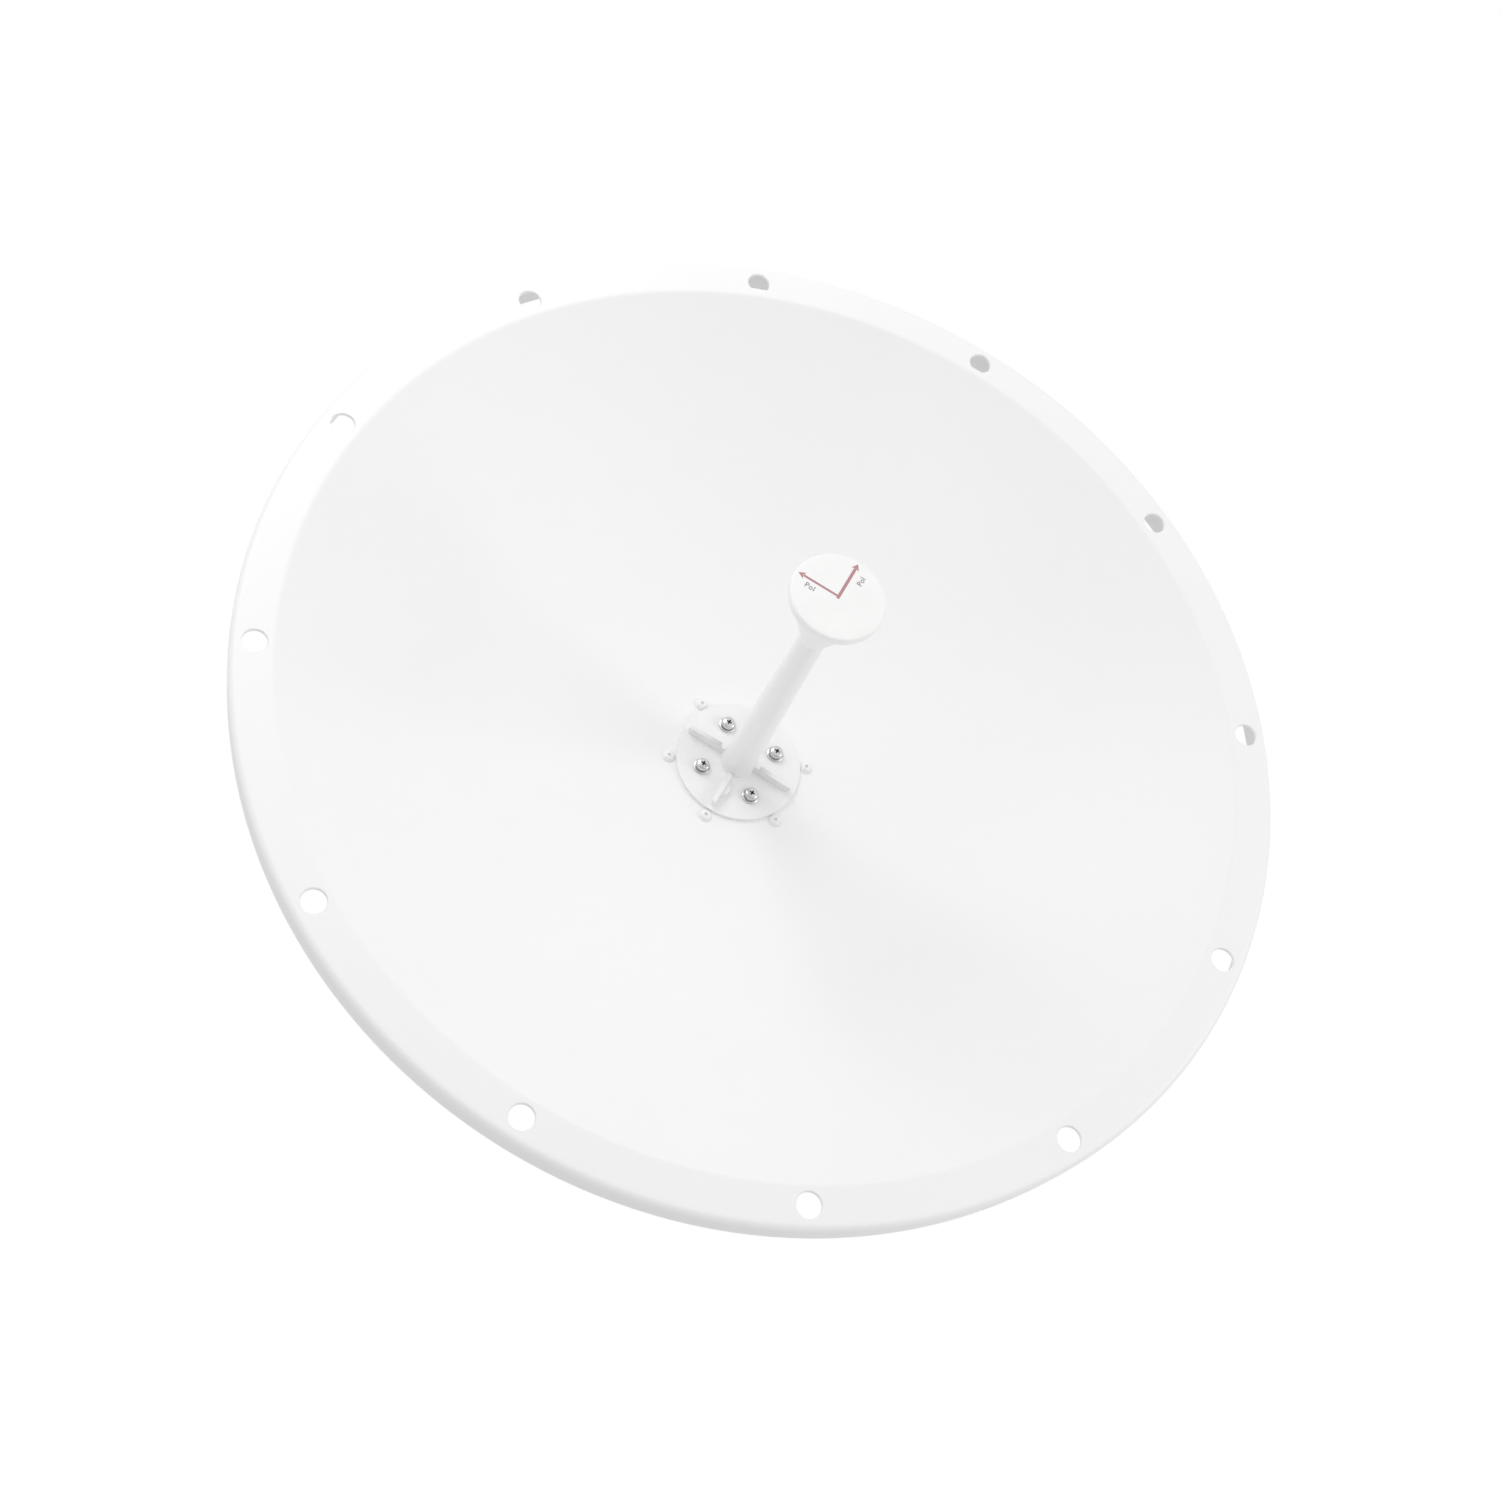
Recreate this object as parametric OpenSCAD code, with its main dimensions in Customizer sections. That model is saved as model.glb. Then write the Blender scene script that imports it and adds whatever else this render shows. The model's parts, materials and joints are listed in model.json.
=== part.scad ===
// Point-to-point parabolic dish with a centre feed and an adjustable pole mount.
// The origin is on the pole's axis, half way up the clamp. The dish looks along -Y and +Z is up.
// "Reach" is the distance in front of the pole's axis, so a face at reach r lies at Y = -r.

/* [Reflector] */
// Radius of the reflecting bowl at the rim plane
bowl_r = 299; // [240:0.5:380]
// Depth of the bowl, from the rim plane to its vertex
bowl_depth = 102; // [80:1:130]
// Thickness of the spun sheet
sheet_t = 2; // [1.5:0.1:3]
// Width of the flat rim outside the bowl
rim_w = 25; // [22.5:0.5:34]
// Radius of the rounded edge between the rim and the skirt
rim_edge_r = 4; // [3.2:0.1:6]
// Height of the skirt that is turned back round the rim
skirt_h = 19.5; // [12:0.5:30]
// Number of holes round the rim
rim_hole_count = 12; // [6:1:24]
// Diameter of a rim hole
rim_hole_d = 14.5; // [5:0.5:16]
// Distance from the bowl's edge to the middle of a rim hole
rim_hole_inset = 11; // [8.2:0.1:11.2]
// Width of the flat seat that is left outside the feed's base plate
seat_margin = 9; // [8:0.5:14]

/* [Feed] */
// Radius of the feed's base plate
base_r = 41; // [36:0.5:50]
// Thickness of the base plate
base_t = 2.2; // [1.8:0.1:4]
// Height of the four ribs on the base plate
rib_h = 6; // [4:0.5:10]
// Thickness of a rib
rib_t = 3; // [2:0.5:5]
// Gap from a rib's outer end to the base plate's edge
rib_inset = 3; // [2:0.5:6]
// Diameter of the half-round boss beside the lower rib
boss_d = 10; // [6:0.5:12]
// Height of that boss
boss_h = 3.6; // [2:0.2:5]
// Radius at which that boss stands
boss_place_r = 25; // [22:0.5:30]
// Radius of the circle of screws that hold the base plate
feed_screw_place_r = 25.4; // [23:0.2:30]
// Radius of the spigot behind the base plate
spigot_r = 17; // [14:0.5:19]
// Bore radius of the round waveguide
guide_r = 6.6; // [4:0.1:7]
// Outer radius of the tube at its foot
tube_foot_r = 10.8; // [9:0.1:12]
// Outer radius of the tube at its tip
tube_tip_r = 8.1; // [7.5:0.1:9]
// Length of the tube in front of the base plate
tube_len = 163; // [120:1:220]
// Length of the cone between the tube and the head disc
cone_len = 41.6; // [25:0.2:60]
// Radius of the cone's wide end
cone_r = 24.5; // [15:0.5:27]
// Length of the cone's stem inside the tube
stem_len = 14; // [8:1:20]
// Radius of the head disc
disc_r = 28.3; // [28:0.1:36]
// Thickness of the head disc
disc_t = 6.2; // [4:0.2:10]
// Radius of the head disc's rounded edges
disc_edge_r = 1.6; // [0.5:0.1:1.9]

/* [Hub and feed housing] */
// Thickness of the cast ring behind the reflector
hub_t = 12; // [11:0.5:20]
// Number of small screws round the base plate
hub_screw_count = 6; // [4:1:8]
// Width of the feed housing
housing_w = 76; // [72:1:78]
// Height of the feed housing
housing_h = 44; // [42:1:48]
// Depth of the feed housing behind its flange
housing_d = 53; // [50:1:60]
// Wall thickness of the feed housing
housing_wall = 3; // [2.5:0.1:4]
// Radius of the feed housing's round flange
housing_flange_r = 44; // [44:0.5:50]
// Thickness of the feed housing's cover
cover_t = 3; // [2:0.5:5]
// Sideways place of each coaxial jack
jack_x = 20; // [18:0.5:22]
// Distance along the feed between the two jacks
jack_step = 12; // [8:0.5:14]
// Radius of a jack's outer thread
jack_r = 7.9; // [6:0.1:8.5]
// Length of a jack's outer thread
jack_len = 10.7; // [8:0.1:14]

/* [Elevation] */
// Most that the dish tilts up or down, in degrees
tilt_range = 25; // [10:1:30]
// Radius of the arc slots that lock the tilt
tilt_lock_place_r = 36; // [32:1:46]
// Length of the hub bracket's ears behind the tilt axis
ear_tail = 14; // [13:0.5:20]
// Room between the yoke's cheeks and the hub behind the reflector
hub_room = 21; // [18:1:40]
// Room between the hub bracket's ears and the yoke's back plate
tilt_room = 14; // [10:1:30]
// Thickness of the steel brackets
bracket_t = 5; // [4:0.5:7]
// Outer radius of the brackets' bends
bend_r = 8; // [7.5:0.5:10]

/* [Azimuth] */
// Most that the yoke swings to each side, in degrees
swing_range = 12; // [5:1:15]
// Radius of the arc slots that lock the swing
swing_lock_place_r = 24; // [23:0.5:34]
// Clear height between the mast bracket's two lugs
lug_gap = 60; // [50:1:72]
// Room between a lug's corner and the plate that it swings past
swing_room = 3; // [2:0.5:8]

/* [Pole clamp] */
// Radius of the pole
pole_r = 30; // [24:0.5:36]
// Distance from the pole's axis to the faces of the saddles
saddle_reach = 14; // [12:0.5:17]
// Thickness of the metal behind the pole
saddle_web = 8; // [6:0.5:12]
// Height of each saddle and clamp jaw
jaw_h = 28; // [24:1:40]
// Height of the whole mast bracket
mast_h = 112; // [100:1:140]
// Gap from the pole to a clamp bolt
bolt_space = 15; // [14:0.5:24]
// How far a clamp jaw can open
jaw_open = 30; // [10:1:60]

/* [Fasteners] */
// Diameter of the four screws that hold the base plate
feed_screw_d = 5; // [4:1:5]
// Diameter of the small screws round the base plate
hub_screw_d = 4; // [3:0.5:4]
// Diameter of the bolts that lock and hold the brackets
lock_bolt_d = 8; // [6:1:8]
// Diameter of the two pivots and of the clamp bolts
pivot_bolt_d = 10; // [8:1:12]

/* [Fits] */
// Radial gap between a fastener and its nut or tapped hole
thread_fit = 0.05; // [0.02:0.01:0.1]
// Radial gap of a turning pivot
pivot_fit = 0.08; // [0.03:0.01:0.1]
// Radial gap of a clearance hole or slot
hole_fit = 0.4; // [0.2:0.1:0.8]
// Gap between faces that slide past each other
face_gap = 0.3; // [0.2:0.05:0.6]

/* [Hidden] */
$fn = 64;
eps = 0.01;

// Reflector: a paraboloid whose heights are measured from the flat seat's front
bowl_steps = 20;
edge_steps = 6;
focal = bowl_r * bowl_r / (4 * bowl_depth);
seat_r = base_r + seat_margin;
rim_z = bowl_z(bowl_r);
rim_r = bowl_r + rim_w;
rim_hole_place_r = bowl_r + rim_hole_inset;
hub_screw_place_r = (base_r + seat_r) / 2;

// Feed housing
housing_screw_d = 5;
housing_screw_inset = 8;
housing_screw_place_r = housing_flange_r - housing_screw_inset;
housing_screw_angles = [60, 120, 240, 300];
housing_corner_r = 4;
cover_screw_d = 3;
cover_post_r = 3.5;
cover_post_tuck = 1.5;
cover_screw_grip = 9;
seal_t = 0.8;
seal_ring_r = 0.95;
hub_bore_r = spigot_r + hole_fit / 2;
pilot_margin = 3;
pilot_r = feed_screw_place_r + feed_screw_d / 2 + pilot_margin;
groove_r = hub_bore_r - 2 * seal_ring_r - thread_fit;
groove_spare = 0.3;
barrel_r = guide_r + 5;
barrel_len = 40;
probe_r = 0.8;
probe_tip = 3;
port_gap = 0.8;
port_r = probe_r + port_gap;
jack_stem_r = 6;
jack_rim_t = 2.6;
jack_flange_t = 3;
jack_nut_t = 3;
jack_stem_len = housing_wall + jack_nut_t + 0.5;
barrel_end_t = 3;
probe_run_z = -barrel_r - 2;
insulator_r = 3.2;
contact_r = 1.5;
contact_len = 7;

// Hub and elevation bracket
window_fit = 1.5;
hub_bolt_room = 18.5;
hub_margin = 16;
plate_margin = 6;
ear_margin = 4;
plate_corner_r = 8;
ear_corner_r = 12;
window_r = housing_flange_r + window_fit;
hub_bolt_place_r = window_r + hub_bolt_room;
hub_bolt_xz = hub_bolt_place_r * cos(45);
hub_r = hub_bolt_place_r + hub_margin;
ear_in = hub_bolt_xz + washer_r(lock_bolt_d) + plate_margin;
ear_out = ear_in + bracket_t;
hub_plate_h = hub_bolt_xz + washer_r(lock_bolt_d) + plate_margin;
ear_h = tilt_lock_place_r + washer_r(lock_bolt_d) + ear_margin;

// Yoke
cheek_in = ear_out + face_gap;
cheek_out = cheek_in + bracket_t;
cheek_margin = 10;
nose_margin = 6.4;
lug_margin = 2;
lug_nose_margin = 4;
cheek_corner_r = 15;
cheek_h = tilt_lock_place_r + lock_bolt_d / 2 + cheek_margin;
cheek_nose = tilt_lock_place_r * sin(tilt_range) + lock_bolt_d / 2 + hole_fit + nose_margin;
slot_spare = 1;
slot_end_fit = 0.02;
lug_w = swing_lock_place_r + washer_r(lock_bolt_d) + lug_margin;
lug_slot_nose = swing_lock_place_r * sin(swing_range) + lock_bolt_d / 2;
lug_nose = max(washer_r(pivot_bolt_d), lug_slot_nose) + lug_nose_margin;
mast_lug_z = lug_gap / 2;
yoke_lug_z = mast_lug_z + bracket_t + face_gap;
yoke_top_z = yoke_lug_z + bracket_t;
yoke_h = max(cheek_h, yoke_top_z + bracket_t);

// Pole clamp
bolt_margin = 14;
saddle_margin = 6;
jaw_back_t = 10;
jaw_ear_step = 6;
jaw_ear_rise = 8;
thread_spare = 6;
bolt_x = pole_r + bolt_space + pivot_bolt_d / 2;
mast_w = bolt_x + bolt_margin;
jaw_z = mast_h / 2 - jaw_h / 2;
saddle_w = pole_r + saddle_margin;
jaw_back = pole_r + jaw_back_t;
jaw_ear_back = jaw_back - jaw_ear_step;
jaw_ear_front = saddle_reach + jaw_ear_rise;

// Reaches of the main faces, from the pole forwards
reach_mast = pole_r + saddle_web;
swing_arm = lug_nose + lug_w * sin(swing_range) + swing_room;
reach_swing = reach_mast + swing_arm;
reach_yoke = reach_swing + swing_arm;
reach_tilt = reach_yoke + bracket_t + ear_tail + ear_h * sin(tilt_range) + tilt_room;
reach_hub_plate = reach_tilt + cheek_nose + hub_room;
reach_hub = reach_hub_plate + bracket_t;
reach_seat = reach_hub + hub_t + sheet_t;
reach_base = reach_seat + base_t;
reach_cone = reach_base + tube_len;
reach_disc = reach_cone + cone_len;
reach_jacks = reach_hub_plate - housing_d / 2;
reach_level = reach_jacks + jack_step / 2;
reach_upright = reach_jacks - jack_step / 2;

// Fasteners
blind_end = 3;
bolt_end = 2;
feed_head_ratio = 0.87;
hub_head_ratio = 1;
pan_head_ratio = 0.94;
feed_washer_ratio = 1.1;
spring_washer_ratio = 0.92;
spring_gap = 0.6;
feed_stack_t = washer_t(feed_screw_d) + spring_washer_t(feed_screw_d);

// Height of the bowl's surface over the seat at a radius
function bowl_z(r) = (r * r - seat_r * seat_r) / (4 * focal);
// Slope of the bowl's surface at a radius, in degrees
function bowl_slope(r) = atan(r / (2 * focal));
// Common proportions of metric hardware
function washer_r(d) = d;
function washer_t(d) = 0.2 * d;
function spring_washer_t(d) = 0.24 * d;
function head_h(d) = 0.64 * d;
function nut_h(d) = 0.8 * d;
function hex_across(d) = 1.6 * d + 0.2;

// Places its children at a reach, with their own Z pointing forwards and their Y up
module at_reach(reach) {
    translate([0, -reach, 0])
        rotate([90, 0, 0])
            children();
}

// Repeats its children round a circle
module round_circle(count, r, start) {
    for (i = [0 : count - 1])
        rotate([0, 0, start + i * 360 / count])
            translate([r, 0, 0])
                children();
}

// Repeats its children on the left and on the right
module both_sides() {
    children();
    mirror([1, 0, 0])
        children();
}

// Repeats its children above and below
module top_and_bottom() {
    children();
    mirror([0, 0, 1])
        children();
}

// An upright plate from an outline in (height, -reach), t thick from x to the right
module side_plate(x, t) {
    translate([x, 0, 0])
        rotate([0, 90, 0])
            linear_extrude(t)
                children();
}

// A level plate from an outline in (x, -reach), t thick from z upwards
module level_plate(z, t) {
    translate([0, 0, z])
        linear_extrude(t)
            children();
}

// Outline of a plate between two reaches, with the corners at its far end rounded
module tongue(half_w, from, to, corner_r) {
    way = sign(from - to);
    shoulder = -to - way * corner_r;
    polygon([
        [-half_w, -from], [half_w, -from], [half_w, shoulder],
        [half_w - corner_r, -to], [-half_w + corner_r, -to], [-half_w, shoulder]
    ]);
    for (e = [-1, 1])
        translate([e * (half_w - corner_r), shoulder])
            circle(r = corner_r);
}

// Outline of a bent channel: its web's outer face is at one reach and its legs run to the other
module channel(half_w, web, legs) {
    way = sign(legs - web);
    difference() {
        tongue(half_w, legs, web, bend_r);
        tongue(half_w - bracket_t, legs + way, web + way * bracket_t, bend_r - bracket_t);
    }
}

// Outline of an arc slot round the origin, about the X direction
module arc_slot(r, half_w, half_angle) {
    fan_x = 2 * r * cos(half_angle);
    fan_y = 2 * r * sin(half_angle);
    intersection() {
        difference() {
            circle(r = r + half_w, $fn = 128);
            circle(r = r - half_w, $fn = 128);
        }
        polygon([[0, 0], [fan_x, -fan_y], [2 * r, 0], [fan_x, fan_y]]);
    }
    for (e = [-1, 1])
        rotate(e * half_angle)
            translate([r, 0])
                circle(r = half_w - slot_end_fit);
}

// Outline of a rectangle with rounded corners
module rounded_rect(w, h, corner_r) {
    square([w - 2 * corner_r, h], center = true);
    square([w, h - 2 * corner_r], center = true);
    for (x = [-1, 1], y = [-1, 1])
        translate([x * (w / 2 - corner_r), y * (h / 2 - corner_r)])
            circle(r = corner_r);
}

// A hexagon with its corners chamfered at the top
module hex_block(d, h) {
    across = hex_across(d);
    top_r = 0.475 * across;
    intersection() {
        cylinder(h = h, r = across / sqrt(3), $fn = 6);
        cylinder(h = h, r1 = top_r + h * tan(60), r2 = top_r);
    }
}

// A hexagon bolt: its head is below Z = 0 and its shank above
module hex_bolt(d, length) {
    mirror([0, 0, 1])
        hex_block(d, head_h(d));
    cylinder(h = length, r = d / 2);
}

// A hexagon nut, standing on Z = 0
module hex_nut(d) {
    difference() {
        hex_block(d, nut_h(d));
        translate([0, 0, -1])
            cylinder(h = nut_h(d) + 2, r = d / 2 + thread_fit);
    }
}

// A flat ring, standing on Z = 0
module ring_washer(d, r, t) {
    difference() {
        cylinder(h = t, r = r);
        translate([0, 0, -1])
            cylinder(h = t + 2, r = d / 2 + hole_fit / 2);
    }
}

// A plain washer, standing on Z = 0
module washer(d) {
    ring_washer(d, washer_r(d), washer_t(d));
}

// A spring washer, cut through on one side
module spring_washer(d) {
    difference() {
        ring_washer(d, spring_washer_ratio * d, spring_washer_t(d));
        translate([0, -spring_gap / 2, -1])
            cube([d, spring_gap, spring_washer_t(d) + 2]);
    }
}

// A cross-head pan screw: its head stands on Z = 0 and its shank is below
module pan_screw(d, head_r, length) {
    h = 0.66 * d;
    corner = 0.3 * d;
    flat_r = head_r - corner;
    slot_t = 0.2 * d;
    slot_l = 1.05 * d;
    difference() {
        union() {
            rotate_extrude($fn = 48)
                polygon(concat(
                    [[0, 0], [head_r, 0], [head_r, h - corner]],
                    [for (a = [15 : 15 : 75]) [flat_r + corner * cos(a), h - corner + corner * sin(a)]],
                    [[0, h]]
                ));
            mirror([0, 0, 1])
                cylinder(h = length, r = d / 2);
        }
        for (a = [0, 90])
            rotate([0, 0, a])
                translate([-slot_l / 2, -slot_t / 2, h * 0.45])
                    cube([slot_l, slot_t, h]);
    }
}

// Outline of the reflector's section, as radius and height over the seat
function reflector_section() =
    let (
        front = [for (i = [0 : bowl_steps]) seat_r + (bowl_r - seat_r) * i / bowl_steps],
        end_slope = bowl_slope(bowl_r) / 2,
        seat_slope = bowl_slope(seat_r) / 2,
        edge_x = rim_r - rim_edge_r,
        edge_z = rim_z - rim_edge_r,
        inner_edge_r = rim_edge_r - sheet_t,
        edge = [for (i = [0 : edge_steps]) 90 - 90 * i / edge_steps]
    )
    concat(
        [[pilot_r + hole_fit / 2, 0]],
        [for (r = front) [r, bowl_z(r)]],
        [for (a = edge) [edge_x + rim_edge_r * cos(a), edge_z + rim_edge_r * sin(a)]],
        [[rim_r, rim_z - skirt_h], [rim_r - sheet_t, rim_z - skirt_h]],
        [for (i = [edge_steps : -1 : 0])
            let (a = edge[i])
            [edge_x + inner_edge_r * cos(a), edge_z + inner_edge_r * sin(a)]],
        [[bowl_r + sheet_t * tan(end_slope), rim_z - sheet_t]],
        [for (i = [bowl_steps - 1 : -1 : 1])
            let (r = front[i], a = bowl_slope(r))
            [r + sheet_t * sin(a), bowl_z(r) - sheet_t * cos(a)]],
        [[seat_r + sheet_t * tan(seat_slope), -sheet_t]],
        [[pilot_r + hole_fit / 2, -sheet_t]]
    );

module reflector() {
    color("white")
        at_reach(reach_seat)
            difference() {
                rotate_extrude($fn = 180)
                    polygon(reflector_section());
                round_circle(rim_hole_count, rim_hole_place_r, 90)
                    translate([0, 0, rim_z - 2 * sheet_t])
                        cylinder(h = 4 * sheet_t, r = rim_hole_d / 2);
                translate([0, 0, -2 * sheet_t])
                    round_circle(hub_screw_count, hub_screw_place_r, 90)
                        cylinder(h = 4 * sheet_t, r = hub_screw_d / 2 + hole_fit / 2);
            }
}

module hub_screws() {
    color("whitesmoke")
        at_reach(reach_seat)
            round_circle(hub_screw_count, hub_screw_place_r, 90)
                pan_screw(hub_screw_d, hub_head_ratio * hub_screw_d, sheet_t + hub_t - blind_end);
}

module base_rib() {
    rib_end = base_r - rib_inset;
    translate([tube_foot_r + thread_fit, -rib_t / 2, 0])
        cube([rib_end - rib_t / 2 - tube_foot_r - thread_fit, rib_t, rib_h]);
    translate([rib_end - rib_t / 2, 0, 0])
        cylinder(h = rib_h, r = rib_t / 2);
}

module feed_base() {
    spigot_len = hub_t + sheet_t;
    groove_w = 2 * seal_ring_r + groove_spare;
    color("whitesmoke")
        at_reach(reach_seat)
            difference() {
                union() {
                    cylinder(h = base_t, r = base_r, $fn = 128);
                    for (a = [0 : 90 : 270])
                        rotate([0, 0, a])
                            translate([0, 0, base_t - eps])
                                base_rib();
                    translate([0, -boss_place_r, base_t - eps])
                        intersection() {
                            cylinder(h = boss_h, r = boss_d / 2);
                            translate([0, -boss_d, 0])
                                cube([boss_d, 2 * boss_d, boss_h]);
                        }
                    translate([0, 0, -spigot_len])
                        cylinder(h = spigot_len + eps, r = spigot_r);
                }
                translate([0, 0, -spigot_len - 1])
                    cylinder(h = spigot_len + base_t + 2, r = tube_foot_r + thread_fit);
                round_circle(4, feed_screw_place_r, 45)
                    translate([0, 0, -1])
                        cylinder(h = base_t + 2, r = feed_screw_d / 2 + hole_fit / 2);
                translate([0, 0, -spigot_len / 2 - groove_w / 2])
                    difference() {
                        cylinder(h = groove_w, r = spigot_r + 1);
                        translate([0, 0, -1])
                            cylinder(h = groove_w + 2, r = groove_r);
                    }
            }
}

module spigot_seal() {
    color("dimgray")
        at_reach(reach_seat - (hub_t + sheet_t) / 2)
            rotate_extrude($fn = 96)
                translate([(groove_r + hub_bore_r) / 2, 0])
                    circle(r = seal_ring_r, $fn = 24);
}

module feed_screws() {
    color("silver")
        at_reach(reach_base + feed_stack_t)
            round_circle(4, feed_screw_place_r, 45)
                pan_screw(
                    feed_screw_d,
                    feed_head_ratio * feed_screw_d,
                    feed_stack_t + base_t + sheet_t + hub_t - blind_end
                );
}

module feed_washers() {
    color("silver")
        at_reach(reach_base)
            round_circle(4, feed_screw_place_r, 45)
                ring_washer(feed_screw_d, feed_washer_ratio * feed_screw_d, washer_t(feed_screw_d));
}

module feed_spring_washers() {
    color("silver")
        at_reach(reach_base + washer_t(feed_screw_d))
            round_circle(4, feed_screw_place_r, 45)
                spring_washer(feed_screw_d);
}

module feed_tube() {
    root_len = base_t + sheet_t + hub_t;
    color("whitesmoke")
        at_reach(reach_base)
            difference() {
                union() {
                    translate([0, 0, -root_len])
                        cylinder(h = root_len + eps, r = tube_foot_r);
                    cylinder(h = tube_len, r1 = tube_foot_r, r2 = tube_tip_r);
                }
                translate([0, 0, -root_len - 1])
                    cylinder(h = root_len + tube_len + 2, r = guide_r);
            }
}

module feed_cone() {
    color("whitesmoke")
        at_reach(reach_cone) {
            cylinder(h = cone_len, r1 = tube_tip_r, r2 = cone_r);
            translate([0, 0, -stem_len])
                cylinder(h = stem_len + eps, r = guide_r - thread_fit);
        }
}

module feed_disc() {
    corner = disc_r - disc_edge_r;
    low = disc_edge_r;
    high = disc_t - disc_edge_r;
    color("white")
        at_reach(reach_disc)
            rotate_extrude($fn = 128)
                polygon(concat(
                    [[0, 0]],
                    [for (a = [-90 : 18 : 0]) [corner + disc_edge_r * cos(a), low + disc_edge_r * sin(a)]],
                    [for (a = [0 : 18 : 90]) [corner + disc_edge_r * cos(a), high + disc_edge_r * sin(a)]],
                    [[0, disc_t]]
                ));
}

module hub_ring() {
    chamfer = 3;
    bore_len = hub_t + sheet_t + 2;
    color("gainsboro")
        at_reach(reach_hub)
            difference() {
                union() {
                    cylinder(h = hub_t - chamfer, r = hub_r, $fn = 128);
                    translate([0, 0, hub_t - chamfer])
                        cylinder(h = chamfer, r1 = hub_r, r2 = hub_r - chamfer, $fn = 128);
                    translate([0, 0, hub_t - eps])
                        cylinder(h = sheet_t + eps, r = pilot_r, $fn = 128);
                }
                translate([0, 0, -1]) {
                    cylinder(h = bore_len, r = hub_bore_r);
                    round_circle(4, feed_screw_place_r, 45)
                        cylinder(h = bore_len, r = feed_screw_d / 2 + thread_fit);
                    round_circle(hub_screw_count, hub_screw_place_r, 90)
                        cylinder(h = bore_len, r = hub_screw_d / 2 + thread_fit);
                    round_circle(4, hub_bolt_place_r, 45)
                        cylinder(h = bore_len, r = lock_bolt_d / 2 + thread_fit);
                    for (a = housing_screw_angles)
                        rotate([0, 0, a])
                            translate([housing_screw_place_r, 0, 0])
                                cylinder(h = bore_len, r = housing_screw_d / 2 + thread_fit);
                }
            }
}

// Centres of the four cover screws' posts
module at_cover_posts() {
    inset = housing_wall + cover_post_r - cover_post_tuck;
    for (x = [-1, 1], y = [-1, 1])
        translate([x * (housing_w / 2 - inset), y * (housing_h / 2 - inset)])
            children();
}

// Outline of the housing's wall with its four screw posts
module housing_section(hole_r) {
    difference() {
        union() {
            difference() {
                rounded_rect(housing_w, housing_h, housing_corner_r);
                square([housing_w - 2 * housing_wall, housing_h - 2 * housing_wall], center = true);
            }
            at_cover_posts()
                circle(r = cover_post_r);
        }
        at_cover_posts()
            circle(r = hole_r);
    }
}

module feed_housing() {
    barrel_end = housing_d - 1;
    color("gainsboro")
        difference() {
            at_reach(reach_hub_plate - housing_d) {
                difference() {
                    union() {
                        linear_extrude(housing_d)
                            housing_section(cover_screw_d / 2 + thread_fit);
                        translate([0, 0, housing_d - barrel_len])
                            cylinder(h = barrel_len, r = barrel_r);
                        translate([0, 0, housing_d])
                            cylinder(h = bracket_t, r = housing_flange_r, $fn = 128);
                    }
                    translate([0, 0, housing_d - barrel_len + barrel_end_t])
                        cylinder(h = barrel_len + bracket_t, r = guide_r);
                    for (a = housing_screw_angles)
                        rotate([0, 0, a])
                            translate([housing_screw_place_r, 0, barrel_end])
                                cylinder(h = bracket_t + 2, r = housing_screw_d / 2 + hole_fit / 2);
                }
            }
            for (port = [[jack_x, reach_upright], [-jack_x, reach_level]])
                translate([port[0], -port[1], -housing_h / 2 - 1])
                    cylinder(h = housing_wall + 2, r = jack_stem_r + thread_fit);
            translate([0, -reach_upright, -barrel_r - 1])
                cylinder(h = barrel_r + 1, r = port_r);
            translate([-barrel_r - 1, -reach_level, 0])
                rotate([0, 90, 0])
                    cylinder(h = barrel_r + 1, r = port_r);
        }
}

module housing_seal() {
    color("dimgray")
        at_reach(reach_hub_plate - housing_d - seal_t)
            linear_extrude(seal_t)
                housing_section(cover_screw_d / 2 + hole_fit / 2);
}

module housing_cover() {
    color("gainsboro")
        at_reach(reach_hub_plate - housing_d - seal_t - cover_t)
            linear_extrude(cover_t)
                difference() {
                    rounded_rect(housing_w, housing_h, housing_corner_r);
                    at_cover_posts()
                        circle(r = cover_screw_d / 2 + hole_fit / 2);
                }
}

module cover_screws() {
    color("silver")
        at_reach(reach_hub_plate - housing_d - seal_t - cover_t)
            at_cover_posts()
                mirror([0, 0, 1])
                    pan_screw(
                        cover_screw_d,
                        pan_head_ratio * cover_screw_d,
                        cover_t + seal_t + cover_screw_grip
                    );
}

module housing_screws() {
    color("silver")
        at_reach(reach_hub_plate)
            for (a = housing_screw_angles)
                rotate([0, 0, a])
                    translate([housing_screw_place_r, 0, 0])
                        mirror([0, 0, 1])
                            pan_screw(
                                housing_screw_d,
                                pan_head_ratio * housing_screw_d,
                                bracket_t + hub_t - blind_end
                            );
}

// A coaxial jack whose mouth faces down, on the underside of the housing
module jack(x, reach) {
    socket_r = jack_r - jack_rim_t;
    color("goldenrod")
        translate([x, -reach, -housing_h / 2])
            mirror([0, 0, 1])
                difference() {
                    union() {
                        cylinder(h = jack_flange_t, r = (2 * jack_r + 3) / sqrt(3), $fn = 6);
                        cylinder(h = jack_flange_t + jack_len, r = jack_r);
                        translate([0, 0, -jack_stem_len])
                            cylinder(h = jack_stem_len + eps, r = jack_stem_r);
                    }
                    translate([0, 0, jack_flange_t])
                        cylinder(h = jack_len + 1, r = socket_r);
                    translate([0, 0, -jack_stem_len - 1])
                        cylinder(h = jack_stem_len + jack_flange_t + 2, r = insulator_r + thread_fit);
                }
}

module upright_jack() {
    jack(jack_x, reach_upright);
}

module level_jack() {
    jack(-jack_x, reach_level);
}

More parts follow.
